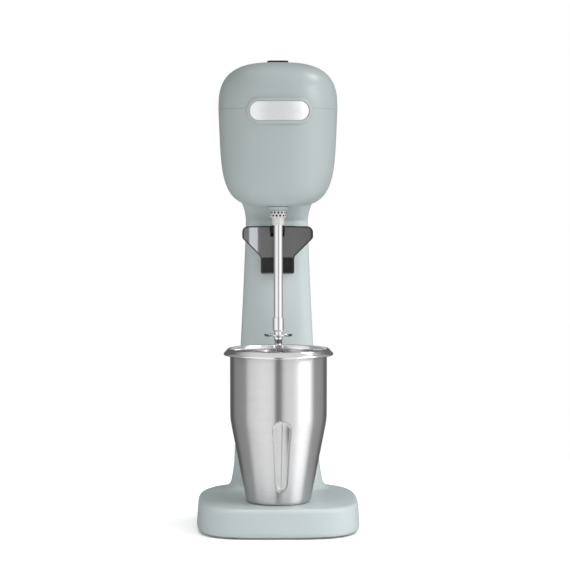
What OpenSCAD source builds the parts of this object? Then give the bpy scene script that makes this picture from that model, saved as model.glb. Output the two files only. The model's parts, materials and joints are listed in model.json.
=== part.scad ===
// Single-spindle bar mixer for milkshakes: a painted stand and motor head, a steel cup that is
// lifted onto a holder, and a driven agitator. Millimetres, +Z up, front towards -Y.
// The origin is on the floor, at the middle of the base.

/* [Base] */
// Width of the base
base_w = 170; // [160:1:190]
// Depth of the base, front to back
base_d = 196; // [190:1:210]
// Height of the base's top face above the floor
base_top = 31; // [29:1:34]
// Roundness of the plan outlines, where 2 is an ellipse
plan_power = 2.7; // [2.4:0.1:3.2]
// Roundness of the base's front half, which is squarer
front_power = 3.7; // [3:0.1:4.2]
// Height that the rubber feet hold the base off the floor
foot_gap = 2; // [1:0.5:3]
// Thickness of the painted castings
wall = 3; // [2.5:0.5:3.5]

/* [Column] */
// Half width of the column above its foot
column_a0 = 46.2; // [44:0.1:48]
// Half width of the column where it meets the head
column_a1 = 33.3; // [32:0.1:36]
// How the column widens downwards, where 1 is a straight taper
column_curve = 1.2; // [1:0.02:1.4]
// Height of the joint between column and head
neck_z = 320; // [318:1:324]

/* [Head] */
// Half width of the head at its widest
head_a = 62; // [61:0.1:64]
// Half depth of the head at its widest
head_b = 88; // [86:0.5:90]
// Height of the top of the head
head_top = 485.7; // [485:0.1:488]
// Height of the underside of the head
head_bottom = 336; // [335:0.5:337]
// Height of the seam between head housing and head cover
seam_z = 436; // [433:1:440]

/* [Spindle] */
// Distance of the spindle behind the middle of the base (negative is in front)
spindle_y = -28; // [-29:0.5:-27]
// Radius of the spindle rod
rod_r = 4.7; // [4.5:0.1:5]
// Radius of the upper agitator disc
disc_r = 14.75; // [13:0.25:17]

/* [Cup] */
// Outer radius of the cup's straight upper wall
cup_r = 50; // [49:0.5:50]
// Outer radius of the cup's foot
cup_foot_r = 33; // [31:0.5:35]
// Height of the cup
cup_h = 159; // [155:0.5:161]
// Distance of the standing cup behind the middle of the base
cup_y = -41; // [-41.3:0.1:-38]

/* [Hidden] */

$fn = 72;
slack = 0.05;                 // radial clearance of a fit
gap = 0.3;                    // joint gap between painted panels
eps = 0.01;
plan_steps = 48;              // points round a plan outline
base_bottom = foot_gap;
paint = [0.72, 0.78, 0.78];
black = [0.09, 0.09, 0.10];
steel = [0.76, 0.77, 0.78];
copper = [0.72, 0.42, 0.24];
brass = [0.78, 0.63, 0.33];

// ---- plan outlines and lofts -------------------------------------------------------------

function signed_power(v, p) = sign(v) * pow(abs(v), p);

// A superellipse of half width a and half depth b, centred at y, at height z
function ring(a, b, y, z, front = plan_power) = [
    for (i = [0:plan_steps - 1]) let (t = 360 * i / plan_steps, p = sin(t) < 0 ? front : plan_power)
    [a * signed_power(cos(t), 2 / p), y + b * signed_power(sin(t), 2 / p), z]
];

// A closed solid through a list of rings, from the lowest to the highest
module loft(rings) {
    n = len(rings[0]);
    last = len(rings) - 1;
    sides = [
        for (k = [0:last - 1], i = [0:n - 1]) let (j = (i + 1) % n)
        each [
            [k * n + i, (k + 1) * n + i, (k + 1) * n + j],
            [k * n + i, (k + 1) * n + j, k * n + j]
        ]
    ];
    bottom = [for (i = [0:n - 1]) i];
    top = [for (i = [n - 1:-1:0]) last * n + i];
    polyhedron(points = [for (r = rings) each r], faces = concat([bottom], [top], sides));
}

module pill(w, h) {
    hull() for (s = [-1, 1]) translate([s * (w - h) / 2, 0]) circle(d = h, $fn = 32);
}

// Stands its children, drawn along +Z, along +Y instead
module along_y() { rotate([-90, 0, 0]) children(); }

// Stands its children, drawn along +Z, along +X instead
module along_x() { rotate([0, 90, 0]) children(); }

module at_spindle() { translate([0, spindle_y, 0]) children(); }

// Four copies at the corners of a rectangle
module corners(dx, dy) { for (x = [-dx, dx], y = [-dy, dy]) translate([x, y, 0]) children(); }

// ---- stand: base and column in one casting -------------------------------------------------

base_round = 5;               // radius along the base's top edge
base_draft = 1.2;             // how far the side leans in from bottom to top
function base_ring(inset, z) = ring(base_w / 2 - inset, base_d / 2 - inset, 0, z, front_power);

module base_solid() {
    loft(concat(
        [base_ring(2.2, base_bottom), base_ring(0.6, base_bottom + 1.4), base_ring(0, base_bottom + 4)],
        [for (f = [0:22.5:90]) base_ring(
            base_draft + base_round * (1 - cos(f)), base_top - base_round * (1 - sin(f)))]
    ));
}

module base_hollow() {
    loft([
        base_ring(wall + 1, base_bottom - 1), base_ring(wall + 1, base_top - wall - 4),
        base_ring(wall + 4, base_top - wall)
    ]);
}

column_front0 = 34;           // front face of the column at the floor
column_front1 = 31;           // front face at the neck
column_back0 = 84;
column_back1 = 82;
flare_reach = 1.8;            // spread of the long flare over its last 20 mm
flare_top = 60;
foot_fillet = 8;
function mix(a, b, t) = a + (b - a) * t;
function foot_flare(z) =
    (z < flare_top ? flare_reach * pow((flare_top - z) / 20, 1.5) : 0)
    + (z < base_top + foot_fillet
        ? foot_fillet * (1 - sqrt(max(0, 1 - pow((base_top + foot_fillet - z) / foot_fillet, 2))))
        : 0);
function column_half(z) = column_a1
    + (column_a0 - column_a1) * pow(max(0, neck_z - z) / (neck_z - flare_top), column_curve);
function column_ring(z, inset) = let (
        t = z / neck_z,
        f = foot_flare(z),
        front = mix(column_front0, column_front1, t) - f + inset,
        back = mix(column_back0, column_back1, t) + f / 2 - inset
    ) ring(column_half(z) + f - inset, (back - front) / 2, (back + front) / 2, z);

module column_solid() {
    sunk = [for (p = column_ring(base_top, 0)) [p[0], p[1], base_top - 1]];
    above = [0, 1, 2.5, 5, 8, 16, 22];
    loft(concat(
        [sunk],
        [for (h = above) column_ring(base_top + h, 0)],
        [for (z = [flare_top, 140, 230, neck_z]) column_ring(z, 0)]
    ));
}

top_flange = 4;               // thickness of the flanges at the neck joint
module column_hollow(inset = wall) {
    loft([
        for (z = [base_top + 10, 50, flare_top, 140, 230, neck_z - top_flange])
        column_ring(z, inset)
    ]);
}

rear_split_y = 74;            // the rear cover is what lies behind this plane
rear_z0 = 48;
rear_z1 = 306;
module rear_block(g) {
    translate([-60, rear_split_y + g, rear_z0 + g])
        cube([120, 60, rear_z1 - rear_z0 - 2 * g]);
}

wire_way_y = 57;
wire_way_r = 12;
base_screw = [58, 62];
cord_x = 45;
cord_z = 16;
cord_face_y = 88.5;           // flat face that the cord bush's flange sits on
holder_z0 = 264.2;
holder_z1 = 314.6;
window = [12, 12, 15];        // opening in the column's front for the switch lever
window_z = 276;
neck_bolt = [16, 11.5];
rear_screw_x = 14;
rear_screw_z = [62, 292];
rear_seat_y = [81.6, 79.8];   // faces in the cover that the lower and upper screws bear on
post_r = 4.5;
screw_r = 1.5;
screw_head = [3.4, 1.6];      // radius and height of a small pan head

module rear_screw_sites() {
    for (x = [-rear_screw_x, rear_screw_x], i = [0, 1]) translate([x, rear_seat_y[i], rear_screw_z[i]])
        children();
}

module stand_casting() {
    color(paint) difference() {
        union() {
            difference() {
                union() { base_solid(); column_solid(); }
                base_hollow();
                column_hollow();
            }
            corners(base_screw[0], base_screw[1])
                translate([0, 0, base_bottom + 3]) cylinder(r = 5, h = base_top - base_bottom - 5);
            rear_screw_sites() translate([0, -45, 0]) along_y() cylinder(r = post_r, h = 42);
        }
        rear_screw_sites() translate([0, -18, 0]) along_y() cylinder(r = screw_r + slack, h = 20);
        translate([0, wire_way_y, base_top - wall - 1]) cylinder(r = wire_way_r, h = 15);
        translate([0, wire_way_y, neck_z - top_flange - 1]) cylinder(r = wire_way_r, h = top_flange + 2);
        corners(base_screw[0], base_screw[1]) translate([0, 0, base_bottom]) cylinder(r = 1.6, h = 18);
        rear_block(0);
        translate([-window[0] / 2, 26, window_z]) cube(window);
        for (x = [-11, 11]) translate([x, 20, 270]) along_y() cylinder(r = 1.6, h = 25);
        translate([0, wire_way_y, 0]) corners(neck_bolt[0], neck_bolt[1])
            translate([0, 0, neck_z - top_flange - 1]) cylinder(r = 2.6, h = top_flange + 2);
        translate([cord_x, 80, cord_z]) along_y() cylinder(r = 7, h = 20);
        translate([cord_x, cord_face_y, cord_z]) along_y() cylinder(r = 9.5, h = 15);
    }
}

plate_t = 1.5;
plate_z = base_bottom + 1.4;
foot_at = [44, 76];
module base_plate() {
    color(steel) difference() {
        loft([base_ring(wall + 1.4, plate_z), base_ring(wall + 1.4, plate_z + plate_t)]);
        corners(base_screw[0], base_screw[1]) cylinder(r = 2.2, h = 20);
        corners(foot_at[0], foot_at[1]) cylinder(r = 3.1, h = 20);
    }
}

module base_plate_screws() {
    color(steel) corners(base_screw[0], base_screw[1]) {
        translate([0, 0, plate_z - 1.3]) cylinder(r = 3.2, h = 1.3);
        translate([0, 0, plate_z - eps]) cylinder(r = 1.5, h = 12);
    }
}

module rubber_feet() {
    color(black) corners(foot_at[0], foot_at[1]) {
        cylinder(r1 = 7.6, r2 = 8.6, h = plate_z);
        translate([0, 0, plate_z - eps]) cylinder(r = 3, h = plate_t + 1);
        translate([0, 0, plate_z + plate_t + 0.1]) cylinder(r = 4, h = 1.5);
    }
}

module rear_cover() {
    color(paint) difference() {
        intersection() { column_solid(); rear_block(gap); }
        column_hollow();
        rear_screw_holes();
    }
    color(paint) difference() {
        intersection() {
            rear_screw_sites() translate([0, -8, 0]) along_y() cylinder(r = post_r, h = 8);
            rear_block(gap);
            column_hollow(wall - 0.2);
        }
        rear_screw_holes();
    }
}

module rear_screw_holes() {
    rear_screw_sites() {
        translate([0, -12, 0]) along_y() cylinder(r = 1.8, h = 30);
        along_y() cylinder(r = 3.7, h = 10);
    }
}

// A cross-recessed screw along +Z, its head's underside at zero
module pan_screw(shank) {
    difference() {
        union() {
            cylinder(r = screw_head[0], h = screw_head[1]);
            translate([0, 0, -shank]) cylinder(r = screw_r, h = shank + eps);
        }
        translate([-2.2, -0.4, screw_head[1] - 0.7]) cube([4.4, 0.8, 2]);
        translate([-0.4, -2.2, screw_head[1] - 0.7]) cube([0.8, 4.4, 2]);
    }
}

module rear_cover_screws() {
    color(steel) rear_screw_sites() translate([0, slack, 0]) along_y() pan_screw(15);
}

module cord_inlet_bush() {
    color(black) translate([cord_x, 0, cord_z]) along_y() difference() {
        union() {
            translate([0, 0, cord_face_y]) cylinder(r = 9, h = 2.5);
            translate([0, 0, 79]) cylinder(r = 6.9, h = cord_face_y - 79 + eps);
            translate([0, 0, cord_face_y + 2.5 - eps]) cylinder(r1 = 7, r2 = 5.6, h = 4);
        }
        translate([0, 0, 70]) cylinder(r = 3.8, h = 40);
    }
}

block = [34, 16, 12];
block_at = [-17, 44, 8];
module mains_terminal_block() {
    color([0.85, 0.85, 0.8]) difference() {
        translate(block_at) cube(block);
        for (i = [-1:1]) translate([i * 10, block_at[1] + 8, block_at[2] + 4]) cylinder(r = 2.4, h = 20);
    }
    // the carrier that the block is clipped to stands on the base plate
    color(black) translate([-20, 46, plate_z + plate_t + 0.1]) cube([40, 12, block_at[2] - plate_z - plate_t - 0.1]);
}

lead_r = 2.5;
board_y = 20;                 // front face of the control board
// The leads keep clear of the rear cover's posts and run through the wire way's holes
supply_points = [
    [10, 54, 23], [6, 58, 27], [5, 60, 44], [5, 68, 75], [5, 68, 280], [5, 60, 312], [4, 52, 335],
    [-2, 40, 348], [-10, 24.4, 352]
];
switch_points = [[-14, 24.4, 386], [-10, 22, 430], [0, 12, 452]];
start_points = [
    [0, 57, 257.5], [-9.5, 64.5, 257.5], [-9.5, 64.5, 272], [-6, 66, 284], [-6, 64, 300],
    [-6, 59, 314], [-6, 57, 327], [-16, 40, 350], [-17, 24.4, 358]
];
module lead_stretch(a, b) {
    hull() for (p = [a, b]) translate(p) sphere(r = lead_r, $fn = 14);
}
module lead(points) {
    for (i = [0:len(points) - 2]) lead_stretch(points[i], points[i + 1]);
}
module supply_lead() { color([0.3, 0.3, 0.32]) lead(supply_points); }
module control_leads() {
    color([0.3, 0.3, 0.32]) {
        lead(switch_points);
        lead(start_points);
    }
}

// ---- motor head ------------------------------------------------------------------------------

dome_z = seam_z + 0.5;        // height where the dome starts to close
dome_power = 2.9;
bowl_z = 423.7;               // height where the bowl starts to close
bowl_power = 4.2;
taper = 0.042;                // narrowing of the head per mm below the seam
function taper_at(z) = z < seam_z ? taper * (seam_z - z) : 0;
function head_ring(z, s, inset) = ring(
    (head_a - taper_at(z) - inset) * s, (head_b - taper_at(z) - inset) * s, 0, z);
function dome_rings(z0, inset) = concat(
    [head_ring(z0, 1, inset)],
    [for (f = [0, 12, 24, 36, 48, 60, 70, 78, 84, 89]) head_ring(
        dome_z + (head_top - dome_z - inset) * pow(sin(f), 2 / dome_power),
        pow(cos(f), 2 / dome_power), inset)]
);
function bowl_rings(z1, inset) = concat(
    [for (f = [89, 86, 82, 76, 68, 58, 46, 34, 22, 12, 5, 0]) head_ring(
        bowl_z - (bowl_z - head_bottom - inset) * pow(sin(f), 2 / bowl_power),
        pow(cos(f), 2 / bowl_power), inset)],
    [head_ring(z1, 1, inset)]
);

neck_flare = 0.0131;          // curvature of the neck as it spreads into the head
neck_slope = 0.056;
neck_top = 406;
neck_spread = 26;             // most that the neck spreads beyond the column
// How far the bowl has closed in at height z, as a fraction of its full outline
function bowl_scale(z) = let (
        rise = pow(max(0, bowl_z - z) / (bowl_z - head_bottom), bowl_power / 2)
    ) pow(cos(asin(min(1, rise))), 2 / bowl_power);
function neck_spread_at(z) = min(neck_spread, neck_flare * pow(z - neck_z, 2) + (z - neck_z) * neck_slope);
function smooth_step(t) = let (u = max(0, min(1, t))) u * u * (3 - 2 * u);
blend_height = 46;            // height over which the neck's outline turns into the head's
// Moves a point of the neck in towards the head's outline when it lies outside it
function keep_in_head(p, inset) = let (
        a = max(column_a1 + neck_spread_at(p[2]), (head_a - taper_at(p[2])) * bowl_scale(p[2])) - inset,
        a_kept = p[2] > 356 ? (head_a - taper_at(p[2])) * bowl_scale(p[2]) - inset : a,
        b = head_b - taper_at(p[2]) - inset,
        k = max(1, pow(pow(abs(p[0]) / a_kept, plan_power) + pow(abs(p[1]) / b, plan_power), 1 / plan_power)),
        share = smooth_step((p[2] - neck_z) / blend_height),
        m = 1 + (k - 1) * share
    ) [p[0] / m, p[1] / m, p[2]];
function neck_ring(z, inset) = let (
        f = neck_spread_at(z),
        front = column_front1 - 1.2 * f + inset,
        back = column_back1 + 0.2 * f - inset
    ) [
        for (p = ring(column_a1 + f - inset, (back - front) / 2, (back + front) / 2, z))
        keep_in_head(p, inset + 0.2)
    ];
neck_levels = [neck_z, 326, 332, 338, 344, 350, 356, 362, 368, 374, 382, 390, 398, neck_top];
wire_way_levels = [neck_z + top_flange, 332, 342, 366];
function wire_way_ring(z) = ring(
    26 + 0.2 * (z - neck_z), 19 + 0.06 * (z - neck_z), wire_way_y, z);

nose_hole_r = 10.1;
nose_seat_r = 13.2;           // flat seat inside the bowl for the nose bush's flange
nose_seat_z = 340.2;
bolt_r = 2;                   // through bolts of the motor
vent = [3, 20, 26];           // one cooling slot in the back of the head
vent_pitch = 8;
mount_at = 26.2;              // the motor's four mounts, from the spindle's axis along X and Y
boss_top = 350;
module motor_corners() { at_spindle() corners(mount_at, mount_at) children(); }

module head_housing() {
    color(paint) difference() {
        union() {
            difference() {
                union() {
                    loft(bowl_rings(seam_z, 0));
                    loft([for (z = neck_levels) neck_ring(z, 0)]);
                }
                loft(bowl_rings(seam_z + 1, wall));
                loft([for (z = wire_way_levels) wire_way_ring(z)]);
            }
            // bosses for the motor's mounts and for the nose bush, cut to the bowl
            intersection() {
                union() {
                    motor_corners() translate([0, 0, 337]) cylinder(r = 6, h = boss_top - 337);
                    at_spindle() translate([0, 0, 337]) cylinder(r = nose_seat_r, h = nose_seat_z - 337);
                }
                loft(bowl_rings(seam_z + 1, 1));
            }
        }
        at_spindle() translate([0, 0, nose_seat_z]) cylinder(r = nose_seat_r, h = 3);
        motor_corners() translate([0, 0, 344.5]) cylinder(r = bolt_r + slack, h = 10);
        at_spindle() translate([0, 0, head_bottom - 5]) cylinder(r = nose_hole_r, h = 15);
        translate([0, wire_way_y, neck_z - 1]) cylinder(r = wire_way_r, h = top_flange + 2);
        translate([0, wire_way_y, neck_z - 1]) corners(neck_bolt[0], neck_bolt[1])
            cylinder(r = 2.6, h = top_flange + 2);
        for (i = [-3:3]) translate([i * vent_pitch - vent[0] / 2, 72, 390]) cube(vent);
        clip_sites() translate([0, 70, rivet_drop]) along_y() cylinder(r = screw_r + slack, h = 30);
    }
}

switch_y = 6;
switch_hole = [20.4, 28.4];
cover_screw_x = 14;
cover_screw_z = 446;
rivet_drop = -18;             // height of the clips' rivets, from their screws
module clip_sites() {
    for (x = [-cover_screw_x, cover_screw_x]) translate([x, 0, cover_screw_z]) children();
}

module head_cover() {
    color(paint) difference() {
        loft(dome_rings(seam_z + 0.4, 0));
        loft(dome_rings(seam_z - 1, wall));
        translate([-switch_hole[0] / 2, switch_y - switch_hole[1] / 2, 470])
            cube([switch_hole[0], switch_hole[1], 30]);
        clip_sites() translate([0, 70, 0]) along_y() cylinder(r = 1.8, h = 30);
        clip_sites() translate([0, cover_seat_y, 0]) along_y() cylinder(r = 3.6, h = 10);
    }
}

module neck_bolts() {
    color(steel) translate([0, wire_way_y, 0]) corners(neck_bolt[0], neck_bolt[1]) {
        translate([0, 0, neck_z - top_flange - 6]) cylinder(r = 2.5, h = 2 * top_flange + 6);
        translate([0, 0, neck_z + top_flange + 0.05]) cylinder(r = 4.5, h = 4);
        translate([0, 0, neck_z - top_flange - 4.05]) cylinder(r = 4.4, h = 4, $fn = 6);
    }
}

clip_y = 82.4;                // outer face of the clips that hold the cover
cover_seat_y = 85.6;          // face in the cover that the screw heads bear on
module cover_clips() {
    color(steel) clip_sites() difference() {
        translate([-5, clip_y - 1.5, -24]) cube([10, 1.5, 27]);
        for (z = [0, rivet_drop]) translate([0, 70, z]) along_y() cylinder(r = screw_r + slack, h = 30);
    }
}

module clip_rivets() {
    color(steel) clip_sites() translate([0, 0, rivet_drop]) along_y() {
        translate([0, 0, clip_y - 1.5]) cylinder(r = screw_r, h = 4.9);
        translate([0, 0, clip_y - 2.55]) cylinder(r = 2.6, h = 1);
    }
}

module cover_screws() {
    color(steel) clip_sites() translate([0, cover_seat_y + slack, 0]) along_y() pan_screw(6);
}

badge = [67.4, 26.9];
badge_window = [60.4, 21.2];
badge_z = 433.4;
badge_proud = 2.2;            // how far the frame stands off the head
plate_proud = 1.3;
module badge_extrude(size) {
    translate([0, -70, badge_z]) rotate([90, 0, 0]) linear_extrude(25) pill(size[0], size[1]);
}

function dome_scale(z) = let (
        rise = pow(max(0, z - dome_z) / (head_top - dome_z), dome_power / 2)
    ) pow(cos(asin(rise)), 2 / dome_power);
// The head's surface round the badge, moved out by grow
module head_skin(grow) {
    loft([for (z = [412, 418, 424, 430, seam_z, 440, 444, 448, 452])
        head_ring(z, bowl_scale(z) * dome_scale(z), -grow)]);
}

module badge_frame() {
    color(paint) difference() {
        intersection() { badge_extrude(badge); head_skin(badge_proud); }
        badge_extrude(badge_window);
        head_skin(slack);
    }
}

module badge_plate() {
    color(steel) difference() {
        intersection() {
            badge_extrude([badge_window[0] - 0.2, badge_window[1] - 0.2]);
            head_skin(plate_proud);
        }
        head_skin(slack);
    }
}

// ---- cup holder and the switch that it works ----------------------------------------------------

cradle_r = 50.8;              // concave face, on the spindle's axis
cradle_t = 5;
wing_x = 37.3;
stem_x = 17.7;
wing_z = 300.4;
stem_z = 282.2;
plunger_y = 27;
pocket = [15, 10.2, 12];      // pocket in the holder's top that the plunger's tab slides in
pocket_y = 19;
pocket_z = 303.5;
module holder_outline() {
    hull() {
        for (s = [-1, 1]) {
            translate([s * (wing_x - 6), holder_z1 - 6]) circle(r = 6, $fn = 32);
            translate([s * (wing_x - 4), wing_z + 3]) circle(r = 4, $fn = 32);
        }
        translate([-stem_x, stem_z]) square([2 * stem_x, 1]);
    }
    translate([-stem_x, stem_z - 3]) square([2 * stem_x, 6]);
}

module stem_outline() {
    hull() {
        for (s = [-1, 1]) translate([s * (stem_x - 2), holder_z0 + 2]) circle(r = 2, $fn = 24);
        translate([-stem_x, stem_z]) square([2 * stem_x, 1]);
    }
}

module from_front(y0, y1) { translate([0, y1, 0]) rotate([90, 0, 0]) linear_extrude(y1 - y0) children(); }

module holder_behind_column() {
    loft([for (z = [230, neck_z]) column_ring(z, -0.05)]);
}

module cup_holder() {
    color(black) difference() {
        union() {
            intersection() {
                from_front(0, 60) holder_outline();
                at_spindle() translate([0, 0, 250]) difference() {
                    cylinder(r = cradle_r + cradle_t, h = 80);
                    translate([0, 0, -1]) cylinder(r = cradle_r, h = 82);
                }
            }
            intersection() {
                from_front(22, 45) { stem_outline(); translate([-stem_x, stem_z]) square([2 * stem_x, holder_z1 - stem_z]); }
                at_spindle() translate([0, 0, 250]) difference() {
                    cylinder(r = 80, h = 80);
                    translate([0, 0, -1]) cylinder(r = cradle_r, h = 82);
                }
            }
        }
        holder_behind_column();
        translate([-pocket[0] / 2, pocket_y, pocket_z]) cube(pocket);
        translate([0, plunger_y, 280]) cylinder(r = 2.1, h = 30);
        translate([0, plunger_y, 299]) cylinder(r = 2.9, h = 10);
        translate([-3.6, 22, 277.5]) cube([7.2, 15, 9.6]);
        for (x = [-11, 11]) translate([x, 10, 270]) along_y() cylinder(r = 1.8, h = 30);
        for (x = [-11, 11]) translate([x, 10, 270]) along_y() cylinder(r = 3.4, h = 16.5);
        // recess for the grip pad
        at_spindle() translate([0, 0, holder_z0 + 2]) intersection() {
            cylinder(r = cradle_r + 1.6, h = stem_z - holder_z0 - 3);
            translate([-stem_x + 1.5, 0, 0]) cube([2 * stem_x - 3, 80, 40]);
        }
    }
}

module holder_grip_pad() {
    color([0.05, 0.05, 0.05]) at_spindle() translate([0, 0, holder_z0 + 2.1]) difference() {
        intersection() {
            difference() {
                cylinder(r = cradle_r + 1.5, h = stem_z - holder_z0 - 3.2);
                translate([0, 0, -1]) cylinder(r = cradle_r + 0.2, h = 40);
            }
            translate([-stem_x + 1.6, 0, 0]) cube([2 * stem_x - 3.2, 80, 40]);
        }
        translate([-3.6, 40, 11.1]) cube([7.2, 20, 20]);
    }
}

module holder_screws() {
    color(steel) for (x = [-11, 11]) translate([x, 0, 270]) along_y() {
        translate([0, 0, 24.8]) cylinder(r = 3.2, h = 1.6);
        translate([0, 0, 26.4 - eps]) cylinder(r = 1.5, h = 12);
    }
}

tab = [14, 9.3, 7.2];         // tab that the hung cup's rim presses down
tab_y = 19.5;
tab_z = holder_z1 + 0.6 - tab[2];
plunger_foot = 286;
module start_plunger() {
    color([0.05, 0.05, 0.05]) {
        translate([-tab[0] / 2, tab_y, tab_z]) cube(tab);
        translate([0, plunger_y, plunger_foot]) cylinder(r1 = 0.7, r2 = 2, h = 1.5);
        translate([0, plunger_y, plunger_foot + 1.5 - eps]) cylinder(r = 2, h = tab_z - plunger_foot - 1.5 + 2 * eps);
    }
}

spring_z = 299.05;
module plunger_spring() {
    color(steel) translate([0, plunger_y, spring_z]) difference() {
        cylinder(r = 2.45, h = tab_z - spring_z - 0.05);
        translate([0, 0, -1]) cylinder(r = 2.08, h = 20);
    }
}

micro_y = 36.4;                 // front of the microswitch's case
micro = [10, 24, 15];
micro_z = 267.5;
lever_pivot = [micro_y + 21, 284.2];
lever_tip_y = 25.2;
module microswitch_case() {
    color([0.12, 0.12, 0.14]) difference() {
        union() {
            translate([-5, micro_y, micro_z]) cube(micro);
            for (x = [-4.6, 3.1]) translate([x, lever_pivot[0] - 3, micro_z + micro[2] - eps])
                cube([1.5, 6, 3.4]);
            // the lug that carries the case on the column's front wall
            translate([-8, micro_y - 1.4, micro_z - 6]) cube([16, 1.4, 14]);
        }
        translate([0, micro_y + 13, micro_z + 6]) cylinder(r = 1.6, h = 20);
        translate([-6, lever_pivot[0], lever_pivot[1]]) along_x() cylinder(r = 0.85, h = 12);
        translate([-1.5, micro_y - 5, micro_z + micro[2]]) cube([3, 10, 10]);
    }
}

module microswitch_terminals() {
    color(brass) for (y = [4, 12, 20]) translate([-2, micro_y + y, micro_z - 7.05]) cube([4, 0.8, 7]);
}

module microswitch_lever() {
    color(steel) {
        translate([-2.4, lever_tip_y, plunger_foot - 0.75]) cube([4.8, lever_pivot[0] - lever_tip_y, 0.6]);
        translate([-2.4, lever_pivot[0] - 0.6, lever_pivot[1]]) cube([4.8, 0.6, 1.4]);
        translate([-4.4, lever_pivot[0], lever_pivot[1]]) along_x() cylinder(r = 0.8, h = 8.8);
    }
}

module microswitch_button() {
    color([0.6, 0.1, 0.1]) translate([0, micro_y + 13, micro_z + 9])
        cylinder(r = 1.5, h = 8);
    color([0.6, 0.1, 0.1]) translate([0, micro_y + 13, micro_z + 17 - eps])
        cylinder(r1 = 1.5, r2 = 0.5, h = plunger_foot - 0.85 - micro_z - 17);
}

// ---- speed switch on top --------------------------------------------------------------------------

bezel_z = head_top + 0.05;
bezel = [21.6, 30, 1.9];
switch_body = [20, 28];
switch_depth = 24;
switch_well = [17.6, 25.6];
rocker_top = head_top + 2.3;
rocker_pivot_z = rocker_top - 5.5;
well_depth = 10.5;            // depth of the rocker's well below its pivot
rocker_x = 8.5;
rocker_y = 11.8;
module switch_housing() {
    color(black) translate([0, switch_y, 0]) difference() {
        union() {
            translate([-bezel[0] / 2, -bezel[1] / 2, bezel_z]) cube(bezel);
            translate([-switch_body[0] / 2, -switch_body[1] / 2, bezel_z - switch_depth])
                cube([switch_body[0], switch_body[1], switch_depth + eps]);
        }
        translate([-switch_well[0] / 2, -switch_well[1] / 2, rocker_pivot_z - well_depth])
            cube([switch_well[0], switch_well[1], 30]);
        translate([-9.6, 0, rocker_pivot_z]) along_x() cylinder(r = 1.25, h = 19.2);
    }
}

module switch_terminals() {
    color(brass) for (y = [-8, 0, 8]) translate([-3, switch_y + y, bezel_z - switch_depth - 6.05])
        cube([6, 0.8, 6]);
}

module switch_rocker() {
    color([0.06, 0.06, 0.06]) translate([0, switch_y, 0]) {
        translate([-rocker_x, 0, rocker_top]) rotate([90, 0, 90]) linear_extrude(2 * rocker_x) polygon([
            [-rocker_y, 0], [-rocker_y / 2, -0.6], [0, -0.9], [rocker_y / 2, -0.6], [rocker_y, 0],
            [rocker_y - 0.6, -7], [4, -14], [-4, -14], [-rocker_y + 0.6, -7]
        ]);
        translate([-9.5, 0, rocker_pivot_z]) along_x() cylinder(r = 1.2, h = 19);
    }
}

// ---- motor -----------------------------------------------------------------------------------------

shaft_r = 4;
bearing_r = 11;
bearing_w = 7;
stator_r = 41;
armature_r = 21;
stack_z = 384;
stack_h = 40;
module motor_rubber_mounts() {
    color([0.12, 0.12, 0.12]) motor_corners() translate([0, 0, boss_top + 0.05]) difference() {
        cylinder(r = 4.6, h = 5.9);
        translate([0, 0, -1]) cylinder(r = 2.2, h = 10);
    }
}

lower_plate_z = 356;
module lower_motor_bracket() {
    color([0.7, 0.7, 0.7]) difference() {
        union() {
            at_spindle() {
                difference() {
                    translate([0, 0, lower_plate_z]) cylinder(r = stator_r, h = 4);
                    translate([0, 0, lower_plate_z - 1]) cylinder(r = 30, h = 6);
                }
                for (a = [45, 135]) rotate(a) translate([-38, -5, lower_plate_z]) cube([76, 10, 4]);
                translate([0, 0, 350]) cylinder(r = 14, h = 12);
            }
            motor_corners() translate([0, 0, lower_plate_z]) cylinder(r = 4.4, h = stack_z - lower_plate_z - 0.05);
        }
        at_spindle() translate([0, 0, 352]) cylinder(r = bearing_r + slack, h = 20);
        at_spindle() translate([0, 0, 340]) cylinder(r = 6, h = 40);
        motor_corners() translate([0, 0, 340]) cylinder(r = bolt_r + slack, h = 60);
    }
}

upper_plate_z = 447;
module upper_motor_bracket() {
    color([0.7, 0.7, 0.7]) difference() {
        union() {
            at_spindle() {
                for (a = [45, 135]) rotate(a) translate([-41, -5, upper_plate_z]) cube([82, 10, 4]);
                translate([0, 0, upper_plate_z]) cylinder(r = 14, h = 9);
                // a bar each side carries the brush holders
                translate([-34, -6, upper_plate_z]) cube([68, 12, 3]);
            }
        }
        at_spindle() translate([0, 0, upper_plate_z - 1]) cylinder(r = 6, h = 20);
        at_spindle() translate([0, 0, upper_plate_z + 1]) cylinder(r = bearing_r + slack, h = 20);
        motor_corners() translate([0, 0, upper_plate_z - 1]) cylinder(r = bolt_r + slack, h = 20);
    }
}

module motor_through_bolts() {
    color(steel) motor_corners() {
        translate([0, 0, 345]) cylinder(r = bolt_r, h = upper_plate_z + 4 - 345);
        translate([0, 0, upper_plate_z + 4.05]) cylinder(r = 3.6, h = 3);
        translate([0, 0, stack_z + stack_h + 0.05]) cylinder(r = 4, h = upper_plate_z - stack_z - stack_h - 0.1);
    }
}

pole_half_w = 18;
module stator_core() {
    color([0.35, 0.36, 0.38]) at_spindle() translate([0, 0, stack_z]) linear_extrude(stack_h) difference() {
        union() {
            difference() { circle(r = stator_r); circle(r = 34); }
            intersection() { circle(r = 35); square([80, 2 * pole_half_w], center = true); }
        }
        circle(r = armature_r + 0.6);
        for (x = [-mount_at, mount_at], y = [-mount_at, mount_at]) translate([x, y])
            circle(r = bolt_r + slack);
    }
}

module field_coils() {
    color(copper) at_spindle() for (s = [0, 180]) rotate(s) {
        for (y = [-21.4, 18.2]) translate([12, y, stack_z - 8]) cube([14, 3.2, stack_h + 16]);
        for (z = [stack_z - 8, stack_z + stack_h + 0.2]) translate([22, -21.4, z]) cube([11, 42.8, 7.8]);
    }
}

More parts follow.
